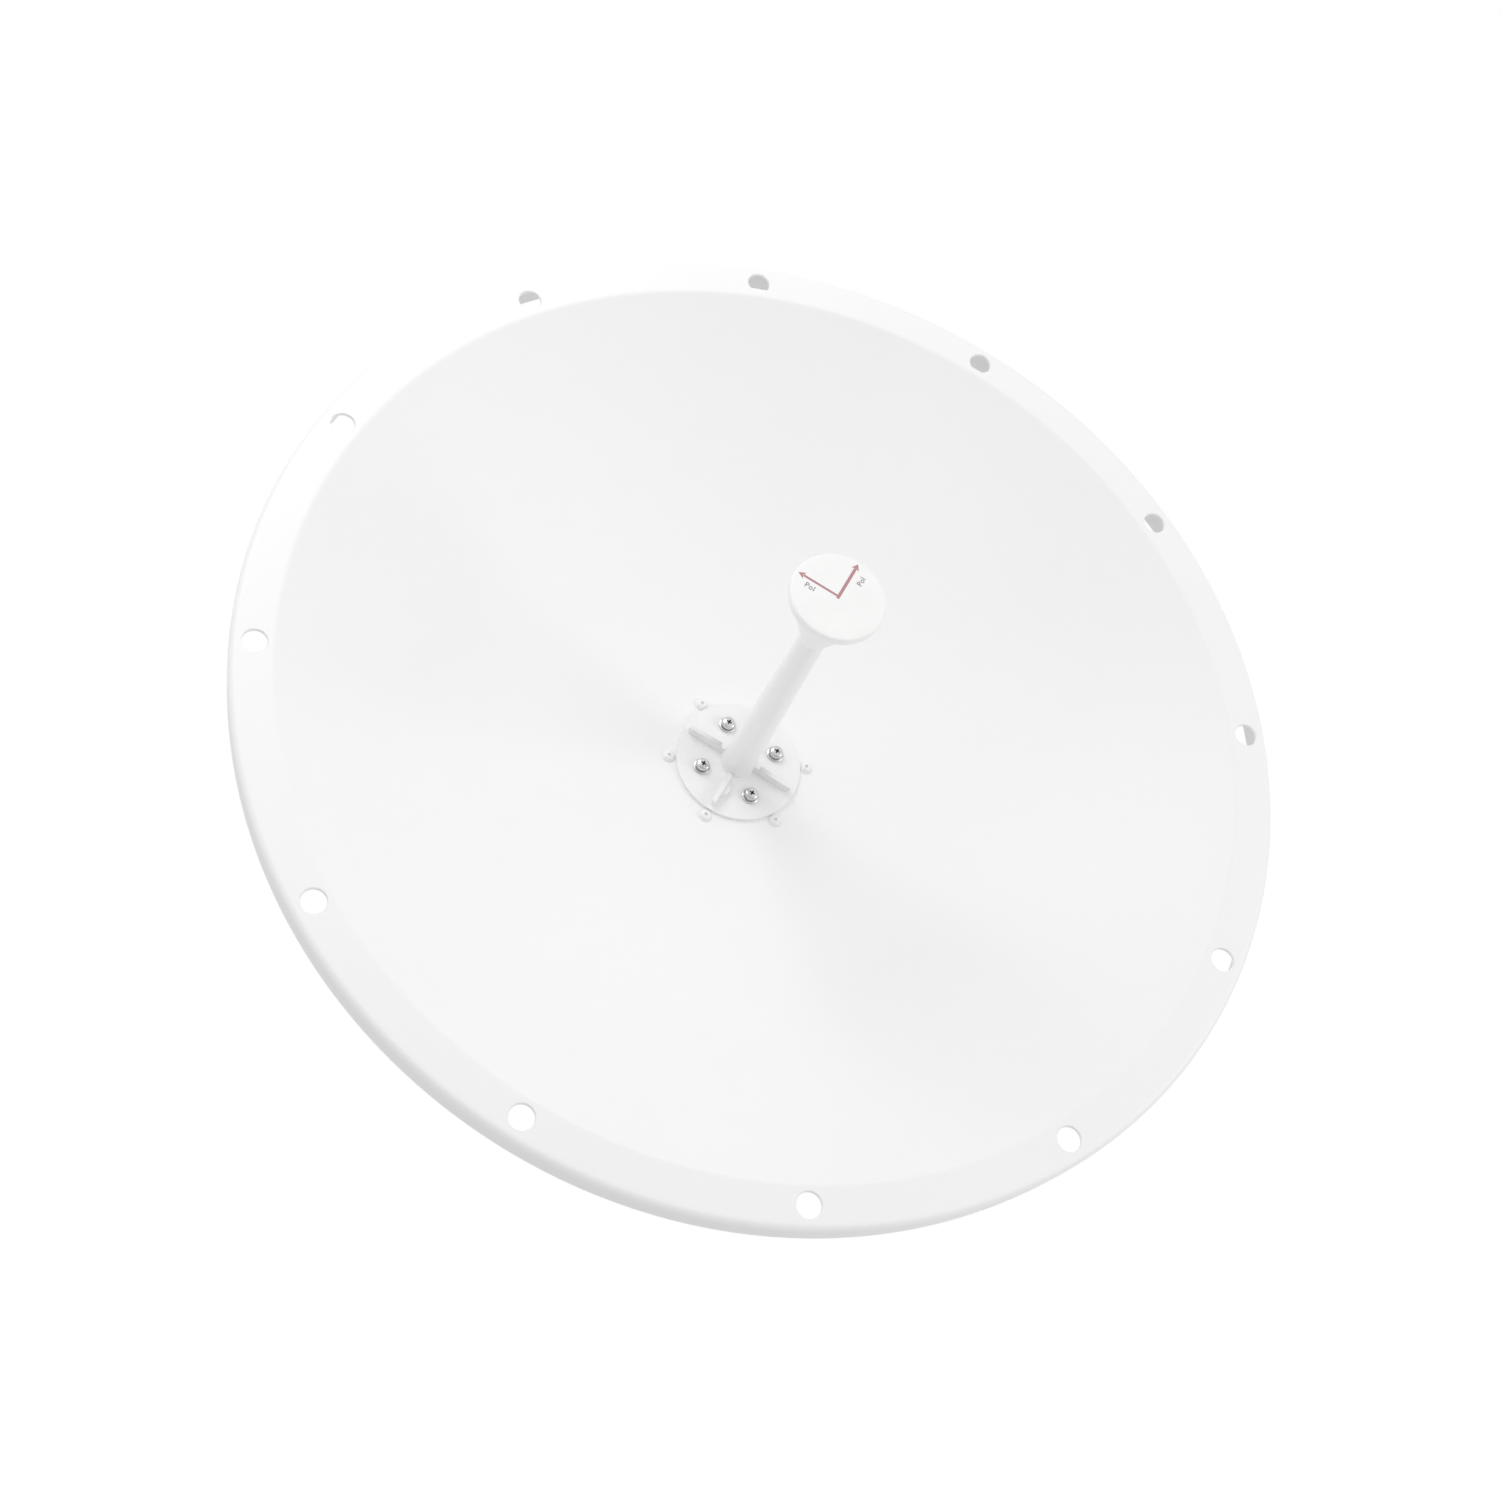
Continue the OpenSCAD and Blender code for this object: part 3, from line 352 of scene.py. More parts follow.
def softened(node, width, angle=30):
    """A copy of a CAD piece with clean flats and its sharp edges rounded."""
    source = NODES[node]
    piece = bpy.data.objects.new(node + "_finished", source.data.copy())
    bpy.context.scene.collection.objects.link(piece)
    only(piece)
    bpy.ops.object.mode_set(mode="EDIT")
    bpy.ops.mesh.select_all(action="SELECT")
    bpy.ops.mesh.remove_doubles(threshold=2e-6)
    bpy.ops.mesh.dissolve_limited(angle_limit=radians(0.6))
    bpy.ops.object.mode_set(mode="OBJECT")
    modified(piece, "BEVEL", width=width, segments=3, limit_method="ANGLE", angle_limit=radians(angle))
    smooth(piece, 40)
    modified(piece, "WEIGHTED_NORMAL", keep_sharp=True)
    return named(piece, node + "_finished")


# ---------------------------------------------------------------- finishes

# Near-black colour of the painted shade in the hollows and crevices of metal parts.
PAINTED_SHADE_COLOUR = (0.03, 0.03, 0.03, 1)


def new_group(name, inputs, outputs):
    """A shader node group with named sockets. Inputs are (name, kind, default)."""
    group = bpy.data.node_groups.new(name, "ShaderNodeTree")
    for label, kind, default in inputs:
        socket = group.interface.new_socket(name=label, in_out="INPUT", socket_type="NodeSocket" + kind)
        socket.default_value = default
    for label, kind in outputs:
        group.interface.new_socket(name=label, in_out="OUTPUT", socket_type="NodeSocket" + kind)
    return group, group.nodes.new("NodeGroupInput"), group.nodes.new("NodeGroupOutput")


def add(tree, kind, links=None, **settings):
    """Adds a node, sets its properties, and fills its inputs with values or links."""
    made = tree.nodes.new("ShaderNode" + kind)
    for key, value in settings.items():
        setattr(made, key, value)
    for key, value in (links or {}).items():
        socket = made.inputs[key]
        if isinstance(value, bpy.types.NodeSocket):
            tree.links.new(value, socket)
        else:
            socket.default_value = value
    return made


def mixed_colour(tree, factor, first, second, mode="MIX"):
    made = add(tree, "Mix", data_type="RGBA", blend_type=mode)
    for index, value in ((0, factor), (6, first), (7, second)):
        if isinstance(value, bpy.types.NodeSocket):
            tree.links.new(value, made.inputs[index])
        else:
            made.inputs[index].default_value = value
    return made.outputs[2]


def tone_group():
    """Slow, faint changes of shade over a surface."""
    g, given, out = new_group("Uneven Tone", [
        ("Colour", "Color", (0.8, 0.8, 0.8, 1)), ("Scale", "Float", 20.0), ("Amount", "Float", 0.03)],
        [("Colour", "Color"), ("Mask", "Float")])
    place = add(g, "TexCoord").outputs["Object"]
    noise = add(g, "TexNoise", {"Vector": place, "Scale": given.outputs["Scale"], "Detail": 4.0,
                                "Roughness": 0.55})
    low = add(g, "Math", {0: 1.0, 1: given.outputs["Amount"]}, operation="SUBTRACT")
    shade = add(g, "MapRange", {"Value": noise.outputs["Fac"], "From Min": 0.3, "From Max": 0.7,
                                "To Min": low.outputs[0], "To Max": 1.0})
    shaded = mixed_colour(g, 1.0, given.outputs["Colour"], shade.outputs[0], "MULTIPLY")
    g.links.new(shaded, out.inputs["Colour"])
    g.links.new(noise.outputs["Fac"], out.inputs["Mask"])
    return g


def peel_group():
    """The fine dimples of a powder coat or a casting's skin."""
    g, given, out = new_group("Coat Grain", [
        ("Fine Scale", "Float", 900.0), ("Coarse Scale", "Float", 120.0), ("Coarse Share", "Float", 0.4)],
        [("Height", "Float")])
    place = add(g, "TexCoord").outputs["Object"]
    fine = add(g, "TexNoise", {"Vector": place, "Scale": given.outputs["Fine Scale"], "Detail": 2.0})
    coarse = add(g, "TexNoise", {"Vector": place, "Scale": given.outputs["Coarse Scale"], "Detail": 3.0})
    part = add(g, "Math", {0: coarse.outputs["Fac"], 1: given.outputs["Coarse Share"]},
               operation="MULTIPLY")
    total = add(g, "Math", {0: fine.outputs["Fac"], 1: part.outputs[0]}, operation="ADD")
    g.links.new(total.outputs[0], out.inputs["Height"])
    return g


def wear_group():
    """Rubbed edges, broken up by noise, and painted shade that darkens the hollows."""
    g, given, out = new_group("Rubbed Edges", [
        ("Colour", "Color", (0.8, 0.8, 0.8, 1)), ("Bare Colour", "Color", (0.5, 0.5, 0.5, 1)),
        ("Amount", "Float", 0.3), ("Grime", "Float", 0.0), ("Scale", "Float", 160.0)],
        [("Colour", "Color"), ("Mask", "Float")])
    place = add(g, "TexCoord").outputs["Object"]
    raised = add(g, "NewGeometry").outputs["Pointiness"]
    edge = add(g, "MapRange", {"Value": raised, "From Min": 0.52, "From Max": 0.60})
    noise = add(g, "TexNoise", {"Vector": place, "Scale": given.outputs["Scale"], "Detail": 5.0})
    broken = add(g, "MapRange", {"Value": noise.outputs["Fac"], "From Min": 0.42, "From Max": 0.66})
    mask = add(g, "Math", {0: edge.outputs[0], 1: broken.outputs[0]}, operation="MULTIPLY")
    amount = add(g, "Math", {0: mask.outputs[0], 1: given.outputs["Amount"]}, operation="MULTIPLY")
    rubbed = mixed_colour(g, amount.outputs[0], given.outputs["Colour"], given.outputs["Bare Colour"])
    # Painted shade: concave places, found by low pointiness, are darkened towards a near-black colour.
    hollow = add(g, "MapRange", {"Value": raised, "From Min": 0.49, "From Max": 0.44})
    crevice_shade = add(g, "Math", {0: hollow.outputs[0], 1: given.outputs["Grime"]}, operation="MULTIPLY")
    g.links.new(mixed_colour(g, crevice_shade.outputs[0], rubbed, PAINTED_SHADE_COLOUR), out.inputs["Colour"])
    g.links.new(amount.outputs[0], out.inputs["Mask"])
    return g


def dust_group():
    """A thin veil of dust on what faces up."""
    g, given, out = new_group("Settled Dust", [
        ("Colour", "Color", (0.8, 0.8, 0.8, 1)), ("Dust Colour", "Color", (0.55, 0.53, 0.50, 1)),
        ("Amount", "Float", 0.1), ("Roughness", "Float", 0.4)],
        [("Colour", "Color"), ("Roughness", "Float")])
    coords = add(g, "TexCoord")
    split = add(g, "SeparateXYZ", {"Vector": coords.outputs["Normal"]})
    facing = add(g, "MapRange", {"Value": split.outputs["Z"], "From Min": 0.35, "From Max": 1.0})
    noise = add(g, "TexNoise", {"Vector": coords.outputs["Object"], "Scale": 60.0, "Detail": 6.0})
    patch = add(g, "MapRange", {"Value": noise.outputs["Fac"], "From Min": 0.35, "From Max": 0.7})
    both = add(g, "Math", {0: facing.outputs[0], 1: patch.outputs[0]}, operation="MULTIPLY")
    amount = add(g, "Math", {0: both.outputs[0], 1: given.outputs["Amount"]}, operation="MULTIPLY")
    dusty = mixed_colour(g, amount.outputs[0], given.outputs["Colour"], given.outputs["Dust Colour"])
    g.links.new(dusty, out.inputs["Colour"])
    dull = add(g, "MapRange", {"Value": amount.outputs[0], "To Min": given.outputs["Roughness"],
                               "To Max": 0.9})
    g.links.new(dull.outputs[0], out.inputs["Roughness"])
    return g


def spangle_group():
    """Crystal grains of a zinc coat, each with its own shade and gloss."""
    g, given, out = new_group("Zinc Grains", [
        ("Colour", "Color", (0.5, 0.5, 0.5, 1)), ("Scale", "Float", 110.0), ("Contrast", "Float", 0.25)],
        [("Colour", "Color"), ("Shade", "Float")])
    place = add(g, "TexCoord").outputs["Object"]
    bend = add(g, "TexNoise", {"Vector": place, "Scale": 90.0, "Detail": 3.0})
    moved = add(g, "VectorMath", {0: bend.outputs["Color"], 1: (0.012, 0.012, 0.012)},
                operation="MULTIPLY")
    spot = add(g, "VectorMath", {0: place, 1: moved.outputs[0]}, operation="ADD")
    cells = add(g, "TexVoronoi", {"Vector": spot.outputs[0], "Scale": given.outputs["Scale"]})
    grey = add(g, "RGBToBW", {"Color": cells.outputs["Color"]})
    low = add(g, "Math", {0: 1.0, 1: given.outputs["Contrast"]}, operation="SUBTRACT")
    shade = add(g, "MapRange", {"Value": grey.outputs[0], "From Min": 0.1, "From Max": 0.9,
                                "To Min": low.outputs[0], "To Max": 1.0})
    shaded = mixed_colour(g, 1.0, given.outputs["Colour"], shade.outputs[0], "MULTIPLY")
    g.links.new(shaded, out.inputs["Colour"])
    g.links.new(grey.outputs[0], out.inputs["Shade"])
    return g


def marks_group():
    """Fine tool marks round the axis that a piece was turned about, which runs along Y."""
    g, given, out = new_group("Turning Marks", [("Lines", "Float", 900.0), ("Spread", "Float", 0.3)],
                              [("Height", "Float")])
    place = add(g, "TexCoord").outputs["Object"]
    flat = add(g, "VectorMath", {0: place, 1: (1, 0, 1)}, operation="MULTIPLY")
    radius = add(g, "VectorMath", {0: flat.outputs[0]}, operation="LENGTH")
    noise = add(g, "TexNoise", {"Vector": place, "Scale": 14.0, "Detail": 3.0})
    lines = add(g, "Math", {0: radius.outputs["Value"], 1: given.outputs["Lines"]}, operation="MULTIPLY")
    ridge = add(g, "TexNoise", {"W": lines.outputs[0], "Scale": 1.0, "Detail": 3.0},
                noise_dimensions="1D")
    uneven = add(g, "Math", {0: noise.outputs["Fac"], 1: given.outputs["Spread"]}, operation="MULTIPLY")
    total = add(g, "Math", {0: ridge.outputs["Fac"], 1: uneven.outputs[0]}, operation="ADD")
    g.links.new(total.outputs[0], out.inputs["Height"])
    return g


GROUPS = {}


def group(tree, key, values):
    made = tree.nodes.new("ShaderNodeGroup")
    made.node_tree = GROUPS[key]
    for name, value in values.items():
        if isinstance(value, bpy.types.NodeSocket):
            tree.links.new(value, made.inputs[name])
        else:
            made.inputs[name].default_value = value
    return made


def rgba(colour, level=1.0):
    return (colour[0] * level, colour[1] * level, colour[2] * level, 1.0)


def new_finish(name):
    made = bpy.data.materials.new(name)
    made.use_nodes = True
    tree = made.node_tree
    tree.nodes.clear()
    shader = tree.nodes.new("ShaderNodeBsdfPrincipled")
    out = tree.nodes.new("ShaderNodeOutputMaterial")
    tree.links.new(shader.outputs[0], out.inputs["Surface"])
    return made, tree, shader


def roughness_from(tree, shader, mask, low, high):
    """Spreads the roughness from low to high by a mask."""
    spread = add(tree, "MapRange", {"Value": mask, "From Min": 0.3, "From Max": 0.7,
                                    "To Min": low, "To Max": high})
    tree.links.new(spread.outputs[0], shader.inputs["Roughness"])


def bumped(tree, shader, height, depth):
    bump = add(tree, "Bump", {"Height": height, "Distance": depth})
    tree.links.new(bump.outputs[0], shader.inputs["Normal"])


def coat(name, colour, rough, bare, worn, dust, tone=0.02, peel=0.00003, scale=14.0, coarse=0.4):
    """A coat of paint or powder on metal, or a moulded plastic's skin."""
    made, tree, shader = new_finish(name)
    tone_node = group(tree, "tone", {"Colour": rgba(colour), "Scale": scale, "Amount": tone})
    edges = group(tree, "wear", {"Colour": tone_node.outputs["Colour"], "Bare Colour": rgba(bare),
                                 "Amount": worn})
    veil = group(tree, "dust", {"Colour": edges.outputs["Colour"], "Amount": dust})
    tree.links.new(veil.outputs["Colour"], shader.inputs["Base Color"])
    roughness_from(tree, shader, tone_node.outputs["Mask"], rough - 0.05, rough + 0.05)
    skin = group(tree, "peel", {"Coarse Share": coarse})
    bumped(tree, shader, skin.outputs["Height"], peel)
    return made


def metal(name, colour, rough, grain, tone=0.10, marks=None, crevice_shade=0.3):
    """Bare or plated metal with faint handling marks, tool marks where it was turned, and painted shade
    in its hollows.
    """
    made, tree, shader = new_finish(name)
    tone_node = group(tree, "tone", {"Colour": rgba(colour), "Scale": 90.0, "Amount": tone})
    # The edge group rubs the edges bare and, by its crevice amount, paints shade into the hollows.
    edges = group(tree, "wear", {"Colour": tone_node.outputs["Colour"], "Bare Colour": rgba(colour, 1.25),
                                 "Amount": 0.6, "Grime": crevice_shade})
    tree.links.new(edges.outputs["Colour"], shader.inputs["Base Color"])
    shader.inputs["Metallic"].default_value = 1.0
    roughness_from(tree, shader, tone_node.outputs["Mask"], rough - 0.05, rough + 0.09)
    if marks:
        height = group(tree, "marks", {"Lines": marks}).outputs["Height"]
    else:
        height = group(tree, "peel", {"Fine Scale": 1600.0, "Coarse Scale": 300.0}).outputs["Height"]
    bumped(tree, shader, height, grain)
    return made


def zinc(name, colour):
    """Hot-dip zinc: dull crystal grains, brighter on rubbed edges and dusty on top."""
    made, tree, shader = new_finish(name)
    grains = group(tree, "spangle", {"Colour": rgba(colour), "Contrast": 0.22})
    edges = group(tree, "wear", {"Colour": grains.outputs["Colour"], "Bare Colour": rgba(colour, 1.3),
                                 "Amount": 0.5})
    veil = group(tree, "dust", {"Colour": edges.outputs["Colour"], "Amount": 0.12})
    tree.links.new(veil.outputs["Colour"], shader.inputs["Base Color"])
    shader.inputs["Metallic"].default_value = 0.85
    roughness_from(tree, shader, grains.outputs["Shade"], 0.36, 0.56)
    skin = group(tree, "peel", {"Fine Scale": 700.0, "Coarse Scale": 140.0, "Coarse Share": 0.9})
    bumped(tree, shader, skin.outputs["Height"], 0.00005)
    return made


def casting(name, colour):
    """Blasted cast metal."""
    made, tree, shader = new_finish(name)
    tone_node = group(tree, "tone", {"Colour": rgba(colour), "Scale": 50.0, "Amount": 0.14})
    edges = group(tree, "wear", {"Colour": tone_node.outputs["Colour"], "Bare Colour": rgba(colour, 1.35),
                                 "Amount": 0.7})
    veil = group(tree, "dust", {"Colour": edges.outputs["Colour"], "Amount": 0.12})
    tree.links.new(veil.outputs["Colour"], shader.inputs["Base Color"])
    shader.inputs["Metallic"].default_value = 0.9
    roughness_from(tree, shader, tone_node.outputs["Mask"], 0.50, 0.66)
    skin = group(tree, "peel", {"Fine Scale": 1100.0, "Coarse Scale": 420.0, "Coarse Share": 1.0})
    bumped(tree, shader, skin.outputs["Height"], 0.00012)
    return made


def reflector_coat(name, colour):
    """The reflector's satin powder coat over the faint rings that spinning leaves."""
    made = coat(name, colour, 0.42, (0.72, 0.72, 0.72), 0.0, 0.05, tone=0.012, scale=7.0)
    tree = made.node_tree
    height = next(n for n in tree.nodes if n.type == "BUMP").inputs["Height"]
    rings = group(tree, "marks", {"Lines": 260.0, "Spread": 0.6})
    part = add(tree, "Math", {0: rings.outputs["Height"], 1: 0.8}, operation="MULTIPLY")
    total = add(tree, "Math", {0: height.links[0].from_socket, 1: part.outputs[0]}, operation="ADD")
    tree.links.new(total.outputs[0], height)
    return made


def ink(name, colour):
    """Screen print, a little thin in places."""
    made, tree, shader = new_finish(name)
    tone_node = group(tree, "tone", {"Colour": rgba(colour), "Scale": 500.0, "Amount": 0.10})
    tree.links.new(tone_node.outputs["Colour"], shader.inputs["Base Color"])
    roughness_from(tree, shader, tone_node.outputs["Mask"], 0.42, 0.55)
    bumped(tree, shader, tone_node.outputs["Mask"], 0.00001)
    return made


FINISHES = {}


class DISH_OT_finishes(bpy.types.Operator):
    """Makes the finishes and gives every CAD piece the one that its record names"""
    bl_idname = "dish.finishes"
    bl_label = "Finishes"

    def execute(self, context):
        colours = context.scene.dish_colours
        GROUPS.update(tone=tone_group(), peel=peel_group(), wear=wear_group(), dust=dust_group(),
                      spangle=spangle_group(), marks=marks_group())
        FINISHES.update({
            "reflector_paint": reflector_coat("Reflector Powder Coat", colours.reflector),
            "feed_paint": coat("Feed Paint", colours.feed, 0.40, (0.72, 0.72, 0.72), 0.25, 0.05),
            "cone_plastic": coat("Cone Plastic", colours.head, 0.45, (0.80, 0.80, 0.80), 0.1, 0.05),
            "disc_plastic": coat("Disc Plastic", colours.head, 0.45, (0.80, 0.80, 0.80), 0.1, 0.04,
                                 tone=0.025, peel=0.00006, scale=60.0),
            # The crevice amount of 0.9 paints strong shade into the bright screws' hollows.
            "bright_steel": metal("Bright Plated Steel", colours.bright, 0.12, 0.000004, tone=0.06,
                                  crevice_shade=0.9),
            # A near-black metal that is put on recess and gap faces as their painted shade.
            "painted_recess_shade": metal("Greasy Hollow", (0.09, 0.09, 0.09), 0.45, 0.000004, crevice_shade=0.5),
            "stainless_steel": metal("Stainless Steel", colours.stainless, 0.28, 0.000006),
            "hub_paint": coat("Hub Paint", colours.hub, 0.46, (0.52, 0.52, 0.53), 0.45, 0.12, tone=0.05,
                              peel=0.00008, coarse=0.9),
            "galvanised_steel": zinc("Hot-Dip Zinc", colours.zinc),
            "cast_clamp": casting("Cast Clamp", colours.cast),
            "jack_plating": metal("Nickel Plate", colours.nickel, 0.24, 0.000004),
            "probe_brass": metal("Gilt Brass", colours.brass, 0.22, 0.000004),
            "insulator_plastic": coat("Insulator", colours.insulator, 0.40, (0.8, 0.8, 0.78), 0.0, 0.0),
            "seal_rubber": coat("Seal Rubber", colours.rubber, 0.62, (0.10, 0.10, 0.10), 0.3, 0.10,
                                tone=0.2),
        })
        for part in frame["record"]["subparts"]:
            piece = NODES[part["node"]]
            piece.data.materials.clear()
            piece.data.materials.append(FINISHES[part["material_slot"]])
        return {"FINISHED"}


# ---------------------------------------------------------------- reflector

class DISH_OT_reflector(bpy.types.Operator):
    """Spins the reflector: seat, paraboloid, soft lip, flat rim, rolled edge, skirt and rim holes"""
    bl_idname = "dish.reflector"
    bl_label = "Reflector"

    SIDES = 360
    BOWL_STEPS = 46

    def execute(self, context):
        shape = context.scene.dish_shape
        shell = self.skin(self.outline(shape))
        modified(shell, "SOLIDIFY", thickness=shape.sheet_t, offset=-1, use_even_offset=True,
                 use_quality_normals=True)
        self.drill(shell, shape)
        smooth(shell, 24)
        laid(shell, FORWARDS, (0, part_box("reflector")[0].y, 0))
        fitted(shell, "dish", "reflector_paint", "reflector")
        return {"FINISHED"}

    def outline(self, shape):
        """The front face from the centre hole out to the skirt's end. Heights are over the rim plane."""
        lo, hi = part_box("reflector")
        depth = hi.y - shape.sheet_t - lo.y
        centre_r = min(v.co.xz.length for v in NODES["reflector"].data.vertices)
        gain = depth / (shape.bowl_r ** 2 - shape.seat_r ** 2)
        slope = atan(2 * gain * shape.bowl_r)
        tangent = shape.lip_r * tan(slope / 2)

        def bowl(r):
            return gain * (r * r - shape.seat_r ** 2) - depth

        # the flat seat, and a soft start of the bowl
        turn_r = shape.seat_r + 0.001
        rings = [(centre_r, -depth), (centre_r + 0.004, -depth), (shape.seat_r - 0.0035, -depth),
                 (shape.seat_r - 0.0012, -depth + 0.00002), (turn_r, bowl(turn_r) + 0.00012)]
        # the bowl, up to the soft lip that turns it into the flat rim
        start_r = shape.seat_r + 0.004
        last_r = shape.bowl_r + tangent - shape.lip_r * sin(slope) - 0.0015
        for i in range(self.BOWL_STEPS + 1):
            r = start_r + (last_r - start_r) * i / self.BOWL_STEPS
            rings.append((r, bowl(r)))
        rings += corner(shape.bowl_r + tangent, -shape.lip_r, 90 + slope * 180 / pi, 90, shape.lip_r, 8)
        # the rim and its rounded outer edge, which stands proud of the skirt as a bead
        rim_r, edge = hi.x, shape.edge_r
        rings += [(shape.bowl_r + 0.011, 0), (rim_r - edge - 0.001, 0)]
        rings += corner(rim_r - edge, -edge, 90, 0, edge, 10)
        skirt_r = rim_r - shape.bead
        rings += [(rim_r, -edge - 0.0012), (rim_r - 0.0001, -edge - 0.0017),
                  (skirt_r + 0.0001, -edge - 0.0023), (skirt_r, -edge - 0.0029)]
        # the skirt, drawn in a little at its end
        end = -self.skirt_end()
        rings += [(skirt_r, end + 0.0032), (skirt_r - 0.0002, end + 0.0022), (skirt_r - 0.0004, end)]
        return rings

    def skirt_end(self):
        """How far behind the rim plane the outermost points reach."""
        lo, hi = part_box("reflector")
        outer = [v.co.y for v in NODES["reflector"].data.vertices if abs(v.co.x) > hi.x - 0.0001]
        return max(outer) - lo.y

    def skin(self, rings):
        """An open skin, facing forwards."""
        piece = drawn("reflector_shell", rings, self.SIDES)
        bpy.ops.mesh.normals_make_consistent(inside=False)
        bpy.ops.object.mode_set(mode="OBJECT")
        if piece.data.polygons[0].normal.z < 0:
            bpy.ops.object.mode_set(mode="EDIT")
            bpy.ops.mesh.flip_normals()
            bpy.ops.object.mode_set(mode="OBJECT")
        return piece

    def drill(self, shell, shape):
        """Drills the holes of the rim, with edges rounded by the coat."""
        r = shape.hole_d / 2
        pattern = turned("drill", [(r + 0.0011, 0.0006), (r + 0.0005, 0.0), (r + 0.0002, -0.0003),
                                   (r, -0.0007), (r, -0.008)], 64)
        drills = []
        for i in range(shape.hole_count):
            angle = pi / 2 + 2 * pi * i / shape.hole_count
            place = (shape.hole_place_r * cos(angle), shape.hole_place_r * sin(angle), 0)
            drills.append(laid(copied(pattern), UP, place))
        bpy.data.objects.remove(pattern)
        cut(shell, joined("drill", drills))


# ---------------------------------------------------------------- feed

PRINT_ROOM = 0.0001     # how far the head disc stops short of its CAD front, for the print
PRINT_GAP = 0.00001     # from the disc to the print, so that no two faces share a plane
INK_T = 0.00005         # how thick the print is

# heights of heads, nuts and washers, as shares of the thread's diameter
PAN_HEAD = 0.66
HEX_HEAD = 0.64
NUT = 0.8
WASHER = 0.2


def pan_screw(name, d, head_r, length, flange=0.0):
    """A cross-head pan screw. Its head stands on Z = 0, over a flange if it has one, its shank below."""
    h, round_r = PAN_HEAD * d, 0.30 * d
    rings = [(d / 2, -length), (d / 2, -0.0002), (head_r - 0.08 * d, 0), (head_r, 0.08 * d)]
    if flange:
        rings += [(head_r, flange - 0.04 * d), (head_r - 0.05 * d, flange), (0.82 * d, flange + 0.02 * d)]
        head_r = 0.80 * d
    rings += [(head_r, h - round_r * 1.3)]
    rings += corner(head_r - round_r, h - round_r * 1.3, 8, 66, round_r, 5)
    rings += [(0.45 * head_r, h - 0.055 * d), (0.2 * head_r, h - 0.012 * d), (0.05 * head_r, h)]
    screw = turned(name, rings, 40)
    recess = (1.02 * d, 0.27 * d, (0.9 if flange else 1.4) * h)
    for turn in (0, pi / 2):
        blade = block("blade")
        picked(blade, lambda v: v.co.z < 0)
        bpy.ops.object.mode_set(mode="EDIT")
        bpy.ops.transform.resize(value=(0.42, 0.5, 1), center_override=(0, 0, -0.5))
        bpy.ops.object.mode_set(mode="OBJECT")
        cut(screw, placed(blade, recess, (0, 0, turn), (0, 0, h)))
    return smooth(screw, 32)


def washer(name, d, height, outer=None, inner=None, sides=48, edge=0.00012):
    """A plain washer with its edges broken, standing on Z = 0."""
    outer, inner = outer or d, inner or d / 2 + 0.0002
    c = min(edge, height / 3)
    rings = [(inner, c), (inner + c, 0), (outer - c, 0), (outer, c), (outer, height - c),
             (outer - c, height), (inner + c, height), (inner, height - c)]
    return smooth(turned(name, rings, sides, closed=True), 50)


